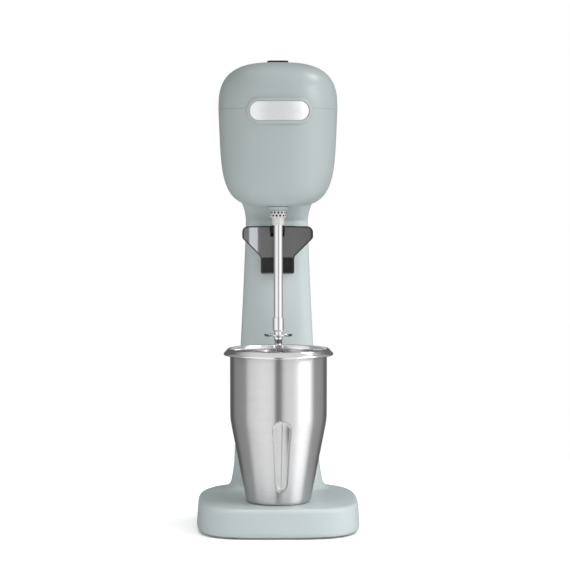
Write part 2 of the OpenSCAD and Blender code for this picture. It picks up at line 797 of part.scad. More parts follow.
module bearing(z) {
    color(steel) at_spindle() translate([0, 0, z]) difference() {
        cylinder(r = bearing_r, h = bearing_w);
        translate([0, 0, -1]) cylinder(r = shaft_r + slack, h = bearing_w + 2);
        for (s = [-0.5, bearing_w - 0.5]) translate([0, 0, s]) difference() {
            cylinder(r = 9, h = 1);
            translate([0, 0, -1]) cylinder(r = 6, h = 3);
        }
    }
}
module lower_bearing() { bearing(352.05); }
module upper_bearing() { bearing(upper_plate_z + 1.05); }

brush_z = 436.5;
brush_w = 6;
holder_w = 9;
commutator_r = 13;
module each_brush() { at_spindle() for (s = [0, 180]) rotate(s) translate([0, 0, brush_z]) children(); }

module brush_holders() {
    color(brass) each_brush() difference() {
        translate([commutator_r + 1.5, -holder_w / 2, 0]) cube([20, holder_w, upper_plate_z - brush_z - 0.05]);
        translate([commutator_r, -brush_w / 2 - slack, 2 - slack]) cube([20, brush_w + 2 * slack, brush_w + 2 * slack]);
    }
}

module carbon_brushes() {
    color([0.12, 0.12, 0.12]) each_brush()
        translate([commutator_r + slack, -brush_w / 2, 2]) cube([11, brush_w, brush_w]);
}

module brush_springs() {
    color(steel) each_brush() translate([commutator_r + 11.1, 0, 5]) along_x() difference() {
        cylinder(r = 2.6, h = 8.7);
        translate([0, 0, -1]) cylinder(r = 2, h = 12);
    }
}

module control_board() {
    color([0.1, 0.35, 0.2]) translate([-24, board_y, 350]) cube([48, 1.6, 38]);
    color(black) translate([-14, board_y - 5.05, 366]) cube([12, 5, 12]);
    color(steel) translate([2, board_y - 3.05, 374]) cube([9, 3, 9]);
}

module board_clips() {
    // their feet follow the inside of the bowl
    color([0.85, 0.85, 0.8]) intersection() {
        for (s = [-1, 1]) translate([s * 20 - 3, board_y - 2.2, 338]) difference() {
            cube([6, 6, 17]);
            translate([-1, 2.15, 11.95]) cube([8, 1.7, 10]);
        }
        loft(bowl_rings(seam_z + 1, wall + slack));
    }
}

module suppression_capacitor() {
    color([0.75, 0.7, 0.2]) translate([4, board_y + 1.65, 356]) cube([16, 8, 12]);
}

nose_flange_z = nose_seat_z + 0.05;
module spindle_nose_bush() {
    color(paint) at_spindle() difference() {
        union() {
            translate([0, 0, 332.6]) cylinder(r1 = 8.6, r2 = 10.8, h = 3.2);
            translate([0, 0, 335.8 - eps]) cylinder(r = nose_hole_r - 0.1, h = nose_flange_z - 335.8 + 1);
            translate([0, 0, nose_flange_z]) cylinder(r = 13, h = 2);
        }
        translate([0, 0, 320]) cylinder(r = seal_r, h = 40);
    }
}

seal_r = 6.5;
module shaft_seal() {
    color(black) at_spindle() translate([0, 0, 334]) difference() {
        cylinder(r = seal_r - slack, h = 6);
        translate([0, 0, -1]) cylinder(r = shaft_r + 0.08, h = 10);
    }
}

shaft_bottom = 323.5;
shaft_top = 458;
module motor_shaft() {
    color(steel) at_spindle() translate([0, 0, shaft_bottom]) cylinder(r = shaft_r, h = shaft_top - shaft_bottom);
}

slots = 12;
module armature_core() {
    color([0.35, 0.36, 0.38]) at_spindle() translate([0, 0, stack_z]) linear_extrude(stack_h) difference() {
        circle(r = armature_r);
        circle(r = shaft_r + slack);
        for (i = [0:slots - 1]) rotate(360 / slots * i) translate([11, -1.6]) square([12, 3.2]);
    }
}

module armature_windings() {
    color(copper) at_spindle() {
        for (i = [0:slots - 1]) rotate(360 / slots * i)
            translate([11.2, -1.4, stack_z - 1]) cube([8, 2.8, stack_h + 2]);
        for (z = [stack_z - 7, stack_z + stack_h + 0.1]) translate([0, 0, z]) difference() {
            cylinder(r = 19.4, h = 6.9);
            translate([0, 0, -1]) cylinder(r = shaft_r + 1.2, h = 10);
        }
    }
}

module commutator() {
    color(copper) at_spindle() translate([0, 0, 434]) difference() {
        cylinder(r = commutator_r, h = 12);
        translate([0, 0, -1]) cylinder(r = shaft_r + slack, h = 20);
        for (i = [0:23]) rotate(15 * i) translate([commutator_r - 1, -0.3, -1]) cube([4, 0.6, 14]);
    }
}

fan_blades = 11;
module cooling_fan() {
    color([0.15, 0.15, 0.17]) at_spindle() translate([0, 0, 363.5]) difference() {
        union() {
            cylinder(r = 8, h = 9);
            cylinder(r = 31, h = 1.5);
            for (i = [0:fan_blades - 1]) rotate(360 / fan_blades * i) translate([7, -0.7, 0]) cube([23, 1.4, 9]);
        }
        translate([0, 0, -1]) cylinder(r = shaft_r + slack, h = 20);
    }
}

// ---- spindle and agitator ------------------------------------------------------------------------

chuck_z = 317;
rod_bottom = 221;
core_r = 2.5;
core_bottom = 175;
chuck_r = 8.65;               // radius of the chuck's dimpled grip
chuck_nose_r = 6.4;
grip_z = 324.8;
dimple_rows = [327, 330];
dimples = 14;                 // dimples in each row, staggered from row to row
module spindle_chuck() {
    color(steel) at_spindle() difference() {
        union() {
            translate([0, 0, chuck_z]) cylinder(r1 = chuck_nose_r - 0.5, r2 = chuck_nose_r, h = 0.8);
            translate([0, 0, chuck_z + 0.8 - eps]) cylinder(r = chuck_nose_r, h = 6.2);
            translate([0, 0, chuck_z + 7 - 2 * eps])
                cylinder(r1 = chuck_nose_r, r2 = chuck_r - 0.3, h = grip_z - chuck_z - 7 + 3 * eps);
            translate([0, 0, grip_z]) cylinder(r = chuck_r, h = 332 - grip_z);
        }
        for (row = [0, 1], i = [0:dimples - 1]) rotate(360 / dimples * (i + row / 2))
            translate([chuck_r - 0.9, 0, dimple_rows[row]]) along_x() cylinder(r = 1, h = 3);
        translate([0, 0, chuck_z - 1]) cylinder(r = rod_r + slack, h = 7);
        translate([0, 0, chuck_z + 5]) cylinder(r = shaft_r + slack, h = 20);
    }
}

module spindle_rod() {
    color(steel) at_spindle() {
        translate([0, 0, rod_bottom]) cylinder(r = rod_r, h = chuck_z + 5.9 - rod_bottom);
        translate([0, 0, core_bottom]) cylinder(r = core_r, h = rod_bottom - core_bottom + eps);
    }
}

module core_bore() { translate([0, 0, 100]) cylinder(r = core_r + slack, h = 200); }

module agitator_sleeve() {
    color(steel) at_spindle() difference() {
        union() {
            translate([0, 0, 208.2]) cylinder(r = 5.85, h = 12.7);
            translate([0, 0, 206.6]) cylinder(r1 = 4.7, r2 = 5.85, h = 1.6 + eps);
        }
        core_bore();
    }
}

lobes = 6;
function lobed(r, depth) = [
    for (i = [0:95]) let (t = 3.75 * i, q = r - depth * (1 - cos(lobes * t)) / 2)
    [q * cos(t), q * sin(t)]
];

module agitator_disc_upper() {
    color(steel) at_spindle() difference() {
        translate([0, 0, 202]) linear_extrude(1.2) polygon(lobed(disc_r, 1.6));
        core_bore();
    }
}

module agitator_spool() {
    color(steel) at_spindle() difference() {
        union() {
            translate([0, 0, 203.25]) cylinder(r = 4.2, h = 3.3);
            translate([0, 0, 198.5]) cylinder(r = 4.7, h = 3.45);
            translate([0, 0, 192.7]) cylinder(r1 = 3.4, r2 = 4.7, h = 5.8 + eps);
            translate([0, 0, 182]) cylinder(r = 5.6, h = 10.7 + eps);
        }
        core_bore();
    }
}

module agitator_disc_lower() {
    color(steel) at_spindle() difference() {
        translate([0, 0, 180.75]) linear_extrude(1.2) polygon(lobed(disc_r - 2, 1.4));
        core_bore();
    }
}

module agitator_tip_nut() {
    color(steel) at_spindle() difference() {
        union() {
            translate([0, 0, 176.5]) cylinder(r = 4.6, h = 4.2);
            translate([0, 0, 172]) cylinder(r1 = 2.6, r2 = 4.6, h = 4.5 + eps);
        }
        translate([0, 0, core_bottom - 0.05]) cylinder(r = core_r + slack, h = 20);
    }
}

// ---- cup --------------------------------------------------------------------------------------------

cup_z = base_top + 0.05;
cup_t = 1;                    // wall of the cup
cone_h = 86;                  // height where the cone becomes the straight wall
lip_r = 56.7;
lip_drop = 5;
flutes = 3;
flute_turn = 3.5;             // the front flute sits a little to the right
flute_ends = [[37, 26], [46, 74]];   // radius and height of the two ends of a flute
flute_size = [8.6, 3.2, 10];

// A flute pressed into the wall, grown by the sheet's thickness for its inner side
module flute(grow) {
    hull() for (e = flute_ends) translate([0, -e[0], e[1]])
        scale([flute_size[0] + grow, flute_size[1] + grow, flute_size[2] + grow]) sphere(r = 1, $fn = 24);
}

module cup_inside() {
    rotate_extrude() polygon([
        [0, 2.5], [26.2, 2.5], [28.4, 1], [cup_foot_r - 2.6, 1.6], [cup_foot_r - cup_t, 3.6],
        [cup_r - 0.6 - cup_t, cone_h - 4], [cup_r - cup_t, cone_h + 2], [cup_r - cup_t, cup_h + 5],
        [0, cup_h + 5]
    ]);
}

module cup_outside() {
    rotate_extrude() polygon([
        [0, 1.5], [26, 1.5], [28, 0], [cup_foot_r - 3, 0], [cup_foot_r - 0.9, 0.9], [cup_foot_r, 3],
        [cup_r - 0.6, cone_h - 4], [cup_r, cone_h + 2], [cup_r, cup_h - 3.4], [cup_r + 1.6, cup_h - 1.6],
        [lip_r - 1, cup_h - lip_drop - 1.2], [lip_r, cup_h - lip_drop], [cup_r + 2.2, cup_h - 0.4],
        [cup_r + 1.2, cup_h], [0, cup_h]
    ]);
}

module mixing_cup() {
    color(steel) translate([0, cup_y, cup_z]) difference() {
        cup_outside();
        difference() {
            cup_inside();
            for (i = [0:flutes - 1]) rotate(flute_turn + 360 / flutes * i) flute(cup_t);
        }
        for (i = [0:flutes - 1]) rotate(flute_turn + 360 / flutes * i) flute(0);
    }
}

stand_casting();
base_plate();
base_plate_screws();
rubber_feet();
rear_cover();
rear_cover_screws();
cord_inlet_bush();
mains_terminal_block();
supply_lead();
control_leads();
head_housing();
head_cover();
neck_bolts();
cover_clips();
clip_rivets();
cover_screws();
badge_frame();
badge_plate();
cup_holder();
holder_grip_pad();
holder_screws();
start_plunger();
plunger_spring();
microswitch_case();
microswitch_terminals();
microswitch_lever();
microswitch_button();
switch_housing();
switch_terminals();
switch_rocker();
motor_rubber_mounts();
lower_motor_bracket();
upper_motor_bracket();
motor_through_bolts();
stator_core();
field_coils();
lower_bearing();
upper_bearing();
brush_holders();
carbon_brushes();
brush_springs();
control_board();
board_clips();
suppression_capacitor();
spindle_nose_bush();
shaft_seal();
motor_shaft();
armature_core();
armature_windings();
commutator();
cooling_fan();
spindle_chuck();
spindle_rod();
agitator_sleeve();
agitator_disc_upper();
agitator_spool();
agitator_disc_lower();
agitator_tip_nut();
mixing_cup();
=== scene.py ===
import json
import math

import bmesh
import bpy
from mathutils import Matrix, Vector


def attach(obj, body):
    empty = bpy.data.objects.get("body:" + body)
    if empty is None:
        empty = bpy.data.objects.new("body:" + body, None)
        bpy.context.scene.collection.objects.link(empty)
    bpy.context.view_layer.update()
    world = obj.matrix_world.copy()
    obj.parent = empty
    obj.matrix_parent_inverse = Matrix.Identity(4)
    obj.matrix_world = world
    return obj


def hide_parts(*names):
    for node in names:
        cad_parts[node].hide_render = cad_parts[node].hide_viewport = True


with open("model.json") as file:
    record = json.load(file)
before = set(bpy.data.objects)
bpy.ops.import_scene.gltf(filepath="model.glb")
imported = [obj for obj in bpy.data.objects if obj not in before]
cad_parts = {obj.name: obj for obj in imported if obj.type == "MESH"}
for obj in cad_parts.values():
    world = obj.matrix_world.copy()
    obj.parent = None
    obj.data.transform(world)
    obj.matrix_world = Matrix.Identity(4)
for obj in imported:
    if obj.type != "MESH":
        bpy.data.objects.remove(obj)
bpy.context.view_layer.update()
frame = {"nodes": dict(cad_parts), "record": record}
scene = bpy.context.scene
nodes = frame["nodes"]

MM = 0.001

# Millimetres, in the frame's axes: how far back the cup's and the spindle's axes stand
CUP_Y = -41
SPINDLE_Y = -28


# ---- camera and light --------------------------------------------------------------------------


def link(obj):
    scene.collection.objects.link(obj)
    return obj


def look_at(obj, target):
    direction = Vector(target) - obj.location
    obj.rotation_euler = direction.to_track_quat("-Z", "Y").to_euler()


CAMERA_PLACE = (-0.038, -2.2, 0.371)
CAMERA_TARGET = (0.0076, 0.0, 0.2533)
LENS_MM = 132.4


def make_camera():
    data = bpy.data.cameras.new("camera")
    data.sensor_width = 36
    data.lens = LENS_MM
    camera = link(bpy.data.objects.new("camera", data))
    camera.location = CAMERA_PLACE
    look_at(camera, CAMERA_TARGET)
    scene.camera = camera


def make_area_light(name, location, target, size, power):
    data = bpy.data.lights.new(name, "AREA")
    data.shape = "RECTANGLE"
    data.size = size[0]
    data.size_y = size[1]
    data.energy = power
    lamp = link(bpy.data.objects.new(name, data))
    lamp.location = location
    look_at(lamp, target)
    return lamp


# Light round the studio: degrees from the camera's side, positive to its right, and brightness
STUDIO_BANDS = [
    (-180, 0.13),
    (-140, 0.13),
    (-128, 0.34),
    (-87, 0.40),
    (-80, 0.95),
    (-40, 1.14),
    (-12, 1.05),
    (-8, 0.22),
    (5, 0.24),
    (10, 0.75),
    (16, 0.98),
    (40, 1.02),
    (46, 1.30),
    (87, 1.30),
    (93, 0.46),
    (128, 0.40),
    (140, 0.18),
    (180, 0.13),
]
BRIGHTEST = 1.5
OVERHEAD = 0.78
# The bands give way to the overhead light between these heights of a direction (1 is straight up)
BANDS_END = 0.62
OVERHEAD_START = 0.92

# Watts of each lamp
KEY_POWER = 24
RIM_PATCH_POWER = 3
HOLDER_BOX_POWER = 15
COLUMN_FILL_POWER = 0.018
TOP_FILL_POWER = 45
FLOOR_POWER = 30


def make_studio():
    """Soft boxes as bands of the world's light, and plain white where the camera looks past."""
    world = bpy.data.worlds.new("studio")
    scene.world = world
    world.use_nodes = True
    tree = world.node_tree
    tree.nodes.clear()
    new = tree.nodes.new
    join = tree.links.new
    coords = new("ShaderNodeTexCoord")
    split = new("ShaderNodeSeparateXYZ")
    join(coords.outputs["Generated"], split.inputs[0])
    back = new("ShaderNodeMath")
    back.operation = "MULTIPLY"
    back.inputs[1].default_value = -1
    join(split.outputs["Y"], back.inputs[0])
    turn = new("ShaderNodeMath")
    turn.operation = "ARCTAN2"
    join(split.outputs["X"], turn.inputs[0])
    join(back.outputs[0], turn.inputs[1])
    share = new("ShaderNodeMapRange")
    share.inputs["From Min"].default_value = -math.pi
    share.inputs["From Max"].default_value = math.pi
    join(turn.outputs[0], share.inputs["Value"])
    ramp = new("ShaderNodeValToRGB")
    stops = ramp.color_ramp.elements
    while len(stops) < len(STUDIO_BANDS):
        stops.new(0.5)
    for stop, (degrees, value) in zip(stops, STUDIO_BANDS):
        stop.position = (degrees + 180) / 360
        grey = value / BRIGHTEST
        stop.color = (grey, grey, grey, 1)
    join(share.outputs[0], ramp.inputs[0])
    height = new("ShaderNodeMapRange")
    height.interpolation_type = "SMOOTHSTEP"
    height.inputs["From Min"].default_value = BANDS_END
    height.inputs["From Max"].default_value = OVERHEAD_START
    join(split.outputs["Z"], height.inputs["Value"])
    upper = new("ShaderNodeMix")
    upper.data_type = "RGBA"
    top = OVERHEAD / BRIGHTEST
    upper.inputs["B"].default_value = (top, top, top, 1)
    join(height.outputs[0], upper.inputs["Factor"])
    join(ramp.outputs[0], upper.inputs["A"])
    lit = new("ShaderNodeBackground")
    lit.inputs["Strength"].default_value = BRIGHTEST
    join(upper.outputs["Result"], lit.inputs["Color"])
    plain = new("ShaderNodeBackground")
    plain.inputs["Color"].default_value = (1, 1, 1, 1)
    path = new("ShaderNodeLightPath")
    mix = new("ShaderNodeMixShader")
    join(path.outputs["Is Camera Ray"], mix.inputs[0])
    join(lit.outputs[0], mix.inputs[1])
    join(plain.outputs[0], mix.inputs[2])
    out = new("ShaderNodeOutputWorld")
    join(mix.outputs[0], out.inputs[0])


def light_only(lamp, objects):
    """Keeps a lamp's light to a few pieces, the way a flag keeps it off the rest."""
    lit = bpy.data.collections.new(lamp.name + "_only")
    for obj in objects:
        lit.objects.link(obj)
    lamp.light_linking.receiver_collection = lit


def make_top_fill(stand):
    """Light from above for the painted stand alone."""
    lamp = make_area_light("top_fill", (0, -0.3, 3.0), (0, 0, 0), (1.5, 1.5), TOP_FILL_POWER)
    light_only(lamp, [stand])


def make_column_fill(stand):
    """A small lamp in front that lifts the column out of the shade of the head."""
    place = (0.25, -1.1, 0.3)
    target = (0, 0.03, 0.255)
    lamp = make_area_light("column_fill", place, target, (0.1, 0.1), COLUMN_FILL_POWER)
    lamp.data.spread = math.radians(14)
    lamp.data.use_shadow = False
    light_only(lamp, [stand])


def make_lights():
    make_area_light("key", (2.2, -0.9, 1.5), (0, 0, 0.25), (1.4, 1.4), KEY_POWER)
    # the small soft box behind on the right that the cup's rim shows as a white patch
    make_area_light("rim_patch", (0.68, 0.38, 1.4), (0, 0, 0.2), (0.30, 0.30), RIM_PATCH_POWER)


# ---- materials ---------------------------------------------------------------------------------


class Look:
    """A procedural material around one Principled shader, with helpers for its nodes."""

    def __init__(self, name, color, roughness, metallic=0.0):
        self.material = bpy.data.materials.new(name)
        self.material.use_nodes = True
        self.tree = self.material.node_tree
        self.shader = self.tree.nodes["Principled BSDF"]
        self.set("Base Color", (*color, 1))
        self.set("Roughness", roughness)
        self.set("Metallic", metallic)
        coords = self.tree.nodes.new("ShaderNodeTexCoord")
        self.place = coords.outputs["Object"]

    def set(self, socket, value):
        self.shader.inputs[socket].default_value = value

    def join(self, a, b):
        self.tree.links.new(a, b)

    def scaled(self, x, y, z):
        """The place in the piece, stretched along each axis."""
        node = self.tree.nodes.new("ShaderNodeMapping")
        node.inputs["Scale"].default_value = (x, y, z)
        self.join(self.place, node.inputs["Vector"])
        return node.outputs[0]

    def around(self, axis_x, axis_y, turns, rise):
        """Coordinates that run round a vertical axis, for marks made by turning."""
        split = self.tree.nodes.new("ShaderNodeSeparateXYZ")
        self.join(self.place, split.inputs[0])
        x = self.math("SUBTRACT", split.outputs["X"], axis_x)
        y = self.math("SUBTRACT", split.outputs["Y"], axis_y)
        angle = self.math("ARCTAN2", x, y)
        combine = self.tree.nodes.new("ShaderNodeCombineXYZ")
        self.join(self.math("MULTIPLY", angle, turns), combine.inputs["X"])
        self.join(self.math("MULTIPLY", split.outputs["Z"], rise), combine.inputs["Y"])
        return combine.outputs[0]

    def math(self, operation, a, b):
        node = self.tree.nodes.new("ShaderNodeMath")
        node.operation = operation
        for socket, value in zip(node.inputs, (a, b)):
            if isinstance(value, (int, float)):
                socket.default_value = value
            else:
                self.join(value, socket)
        return node.outputs[0]

    def noise(self, place, scale, detail=3.0, rough=0.5):
        node = self.tree.nodes.new("ShaderNodeTexNoise")
        node.inputs["Scale"].default_value = scale
        node.inputs["Detail"].default_value = detail
        node.inputs["Roughness"].default_value = rough
        self.join(place, node.inputs["Vector"])
        return node.outputs["Fac"]

    def spread(self, value, low, high, start=0.3, end=0.7):
        node = self.tree.nodes.new("ShaderNodeMapRange")
        node.inputs["From Min"].default_value = start
        node.inputs["From Max"].default_value = end
        node.inputs["To Min"].default_value = low
        node.inputs["To Max"].default_value = high
        self.join(value, node.inputs["Value"])
        return node.outputs[0]

    def vary_roughness(self, value, low, high):
        self.join(self.spread(value, low, high), self.shader.inputs["Roughness"])

    def vary_color(self, value, color_a, color_b):
        node = self.tree.nodes.new("ShaderNodeValToRGB")
        first, last = node.color_ramp.elements
        first.position = 0.35
        first.color = (*color_a, 1)
        last.position = 0.65
        last.color = (*color_b, 1)
        self.join(value, node.inputs[0])
        self.join(node.outputs[0], self.shader.inputs["Base Color"])

    def bump(self, value, strength, distance):
        node = self.tree.nodes.new("ShaderNodeBump")
        node.inputs["Strength"].default_value = strength
        node.inputs["Distance"].default_value = distance
        self.join(value, node.inputs["Height"])
        previous = self.shader.inputs["Normal"]
        if previous.is_linked:
            self.join(previous.links[0].from_socket, node.inputs["Normal"])
        self.join(node.outputs[0], previous)

    def brushed_round(self, amount):
        """Anisotropic gloss from marks that run round the vertical axis."""
        tangent = self.tree.nodes.new("ShaderNodeTangent")
        tangent.direction_type = "RADIAL"
        tangent.axis = "Z"
        self.join(tangent.outputs[0], self.shader.inputs["Tangent"])
        self.set("Anisotropic", amount)
        self.set("Anisotropic Rotation", 0.25)


def shade(color, factor):
    return tuple(c * factor for c in color)


PAINT = (0.380, 0.430, 0.430)


def satin_paint():
    look = Look("painted_shell", PAINT, 0.42)
    cloud = look.noise(look.place, 9, 3)
    look.vary_color(cloud, shade(PAINT, 0.985), shade(PAINT, 1.015))
    look.vary_roughness(look.noise(look.place, 160, 4, 0.6), 0.36, 0.46)
    look.bump(look.noise(look.place, 900, 3, 0.5), 0.06, 0.0004)
    look.bump(look.noise(look.place, 2600, 2, 0.5), 0.05, 0.00015)
    look.set("Coat Weight", 0.12)
    look.set("Coat Roughness", 0.25)
    return look.material


def brushed_along_x(name, color, roughness):
    look = Look(name, color, roughness, 1.0)
    lines = look.noise(look.scaled(40, 5200, 5200), 1, 3, 0.5)
    look.vary_color(lines, shade(color, 0.96), shade(color, 1.03))
    look.vary_roughness(lines, roughness - 0.03, roughness + 0.06)
    look.bump(lines, 0.05, 0.00004)
    return look.material


def cup_steel():
    look = Look("cup_steel", (0.70, 0.70, 0.70), 0.38, 1.0)
    marks = look.noise(look.around(0, CUP_Y * MM, 1.2, 2600), 1.0, 5, 0.65)
    wide = look.noise(look.around(0, CUP_Y * MM, 2.0, 160), 1.0, 3, 0.5)
    look.vary_color(marks, (0.68, 0.68, 0.685), (0.72, 0.72, 0.725))
    look.vary_roughness(wide, 0.33, 0.37)
    look.bump(marks, 0.03, 0.00005)
    look.brushed_round(1.0)
    return look.material


def polished_steel(name="polished_steel", roughness=0.09):
    look = Look(name, (0.80, 0.80, 0.81), roughness, 1.0)
    haze = look.noise(look.scaled(300, 300, 60), 1, 4, 0.6)
    look.vary_roughness(haze, roughness * 0.6, roughness * 1.7)
    fine = look.noise(look.scaled(900, 900, 3200), 1, 2)
    look.bump(fine, 0.03, 0.00008)
    return look.material


def turned_steel(name, color, low, high):
    look = Look(name, color, low, 1.0)
    marks = look.noise(look.around(0, SPINDLE_Y * MM, 1.5, 3200), 1.0, 4, 0.6)
    look.vary_roughness(marks, low, high)
    look.vary_color(marks, shade(color, 0.9), shade(color, 1.08))
    look.bump(marks, 0.08, 0.00008)
    return look.material


def plated_steel(name, color, low, high):
    look = Look(name, color, low, 1.0)
    cloud = look.noise(look.place, 420, 5, 0.7)
    look.vary_roughness(cloud, low, high)
    look.vary_color(cloud, shade(color, 0.82), shade(color, 1.08))
    look.bump(look.noise(look.place, 2600, 3), 0.08, 0.0001)
    return look.material


def moulded(name, color, low, high, grain=1800, bump=0.08, depth=0.0001, gloss=0.5):
    look = Look(name, color, low)
    look.set("Specular IOR Level", gloss)
    look.vary_roughness(look.noise(look.place, 220, 4, 0.6), low, high)
    look.vary_color(look.noise(look.place, 60, 4), shade(color, 0.86), shade(color, 1.14))
    look.bump(look.noise(look.place, grain, 3, 0.6), bump, depth)
    return look.material


def gloss_black():
    look = Look("gloss_black", (0.026, 0.024, 0.022), 0.1)
    look.vary_roughness(look.noise(look.place, 220, 4, 0.6), 0.07, 0.12)
    look.vary_color(look.noise(look.place, 60, 4), (0.022, 0.020, 0.018), (0.030, 0.028, 0.026))
    look.bump(look.noise(look.place, 900, 3, 0.6), 0.02, 0.0001)
    look.set("IOR", 2.0)
    return look.material


def satin_sleeve():
    look = Look("satin_sleeve", (0.66, 0.66, 0.64), 0.42, 0.35)
    marks = look.noise(look.around(0, SPINDLE_Y * MM, 1.5, 2600), 1.0, 4, 0.6)
    look.vary_color(marks, (0.62, 0.62, 0.60), (0.69, 0.69, 0.67))
    look.vary_roughness(marks, 0.38, 0.5)
    look.bump(marks, 0.05, 0.00006)
    return look.material


def laminated_iron():
    look = Look("laminated_iron", (0.17, 0.17, 0.18), 0.45, 0.7)
    wave = look.tree.nodes.new("ShaderNodeTexWave")
    wave.bands_direction = "Z"
    wave.inputs["Scale"].default_value = 320
    wave.inputs["Distortion"].default_value = 0.4
    look.join(look.place, wave.inputs["Vector"])
    look.vary_color(wave.outputs["Fac"], (0.07, 0.07, 0.08), (0.26, 0.26, 0.27))
    look.bump(wave.outputs["Fac"], 0.4, 0.0002)
    return look.material


def wound_copper():
    look = Look("copper_parts", (0.60, 0.25, 0.11), 0.3, 1.0)
    wave = look.tree.nodes.new("ShaderNodeTexWave")
    wave.bands_direction = "DIAGONAL"
    wave.inputs["Scale"].default_value = 420
    wave.inputs["Distortion"].default_value = 1.5
    look.join(look.place, wave.inputs["Vector"])
    look.vary_color(wave.outputs["Fac"], (0.36, 0.13, 0.05), (0.70, 0.30, 0.14))
    look.bump(wave.outputs["Fac"], 0.5, 0.0003)
    return look.material


looks = {
    "painted_shell": satin_paint(),
    "badge_silver": brushed_along_x("badge_silver", (0.86, 0.87, 0.88), 0.46),
    "gloss_black": gloss_black(),
    "matte_black": moulded("matte_black", (0.014, 0.014, 0.014), 0.5, 0.65, 2400, 0.2, 0.0002, 0.3),
    "black_rubber": moulded("black_rubber", (0.02, 0.02, 0.02), 0.65, 0.85, 1500, 0.3, 0.0002),
    "lead_sleeve": moulded("lead_sleeve", (0.04, 0.04, 0.045), 0.4, 0.55, 1200),
    "zinc_steel": plated_steel("zinc_steel", (0.62, 0.62, 0.60), 0.25, 0.45),
    "terminal_plastic": moulded("terminal_plastic", (0.72, 0.70, 0.62), 0.4, 0.55),
    "red_plastic": moulded("red_plastic", (0.5, 0.035, 0.025), 0.3, 0.4),
    "brass_parts": plated_steel("brass_parts", (0.72, 0.50, 0.22), 0.25, 0.42),
    "cast_brackets": plated_steel("cast_brackets", (0.55, 0.55, 0.56), 0.45, 0.62),
    "laminated_iron": laminated_iron(),
    "copper_parts": wound_copper(),
    "bearing_steel": turned_steel("bearing_steel", (0.60, 0.60, 0.61), 0.14, 0.28),
    "carbon": moulded("carbon", (0.035, 0.035, 0.036), 0.5, 0.7),
    "board_green": moulded("board_green", (0.02, 0.16, 0.07), 0.25, 0.4, 700, 0.15),
    "capacitor_case": moulded("capacitor_case", (0.6, 0.46, 0.08), 0.25, 0.4),
    "fan_plastic": moulded("fan_plastic", (0.035, 0.035, 0.04), 0.4, 0.55),
    "polished_steel": polished_steel(),
    "cup_steel": cup_steel(),
}
rim_steel = polished_steel("cup_rim_polish", 0.12)
sleeve_look = satin_sleeve()


# ---- mesh helpers ------------------------------------------------------------------------------

PLAN_POWER = 2.7
FRONT_POWER = 3.7
RING_POINTS = 192


def signed_power(value, power):
    return math.copysign(abs(value) ** power, value)


def ring(a, b, y, z, front=PLAN_POWER):
    """A superellipse of half width a and half depth b, centred at y, at height z."""
    result = []
    for i in range(RING_POINTS):
        t = 2 * math.pi * i / RING_POINTS
        power = front if math.sin(t) < 0 else PLAN_POWER
        px = a * signed_power(math.cos(t), 2 / power)
        py = b * signed_power(math.sin(t), 2 / power)
        result.append((px, y + py, z))
    return result


def circle_points(r, n):
    return [(r * math.cos(2 * math.pi * i / n), r * math.sin(2 * math.pi * i / n)) for i in range(n)]


def new_piece(name, verts, faces, slot_name, body):
    """A mesh piece from millimetre points."""
    mesh = bpy.data.meshes.new(name)
    mesh.from_pydata([(x * MM, y * MM, z * MM) for x, y, z in verts], [], faces)
    mesh.update()
    obj = link(bpy.data.objects.new(name, mesh))
    tidy_normals(obj)
    if slot_name:
        mesh.materials.append(looks[slot_name])
    if body:
        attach(obj, body)
    return obj


def tidy_normals(obj):
    work = bmesh.new()
    work.from_mesh(obj.data)
    bmesh.ops.recalc_face_normals(work, faces=work.faces)
    work.to_mesh(obj.data)
    work.free()


def skin(rings, closed=False):
    """Points and faces of a surface through rings: capped at both ends, or joined end to end."""
    n = len(rings[0])
    verts = [p for r in rings for p in r]
    faces = []
    count = len(rings)
    for k in range(count if closed else count - 1):
        low = k * n
        high = ((k + 1) % count) * n
        for i in range(n):
            j = (i + 1) % n
            faces.append((low + i, low + j, high + j, high + i))
    if not closed:
        faces.append(tuple(range(n - 1, -1, -1)))
        faces.append(tuple((count - 1) * n + i for i in range(n)))
    return verts, faces


def solid(name, rings, closed=False, slot_name=None, body=None):
    verts, faces = skin(rings, closed)
    return new_piece(name, verts, faces, slot_name, body)


def lathe(profile, x, y, points=96):
    """Rings of a turned shape from (radius, height) pairs."""
    return [[(x + cx, y + cy, z) for cx, cy in circle_points(r, points)] for r, z in profile]


def block(name, low, high):
    xs, ys, zs = zip(low, high)
    corners = [(x, y, z) for z in zs for y in ys for x in xs]
    faces = [(0, 2, 3, 1), (4, 5, 7, 6), (0, 1, 5, 4), (2, 6, 7, 3), (0, 4, 6, 2), (1, 3, 7, 5)]
    return new_piece(name, corners, faces, None, None)


def rod_y(name, r, x, z, y0, y1, points=64):
    rings = [[(x + cx, y, z + cz) for cx, cz in circle_points(r, points)] for y in (y0, y1)]
    return solid(name, rings)


def settle(obj):
    """Turns the piece's modifiers into mesh."""
    graph = bpy.context.evaluated_depsgraph_get()
    graph.update()
    mesh = bpy.data.meshes.new_from_object(obj.evaluated_get(graph))
    obj.modifiers.clear()
    obj.data = mesh


def combine(obj, others, operation="DIFFERENCE"):
    for other in others:
        step = obj.modifiers.new("cut", "BOOLEAN")
        step.solver = "EXACT"
        step.operation = operation
        step.object = other
    settle(obj)
    for other in others:
        bpy.data.objects.remove(other)


def round_edges(obj, width, segments=3, angle=40):
    step = obj.modifiers.new("round", "BEVEL")
    step.width = width * MM
    step.segments = segments
    step.limit_method = "ANGLE"
    step.angle_limit = math.radians(angle)


def soften(obj, angle=35):
    obj.data.shade_smooth()
    obj.data.set_sharp_from_angle(angle=math.radians(angle))


def steps(low, high, count):
    return [low + (high - low) * i / count for i in range(count + 1)]


# ---- stand -------------------------------------------------------------------------------------

# Wall of the castings, and the gap round the rear cover
WALL = 3
JOINT_GAP = 0.3
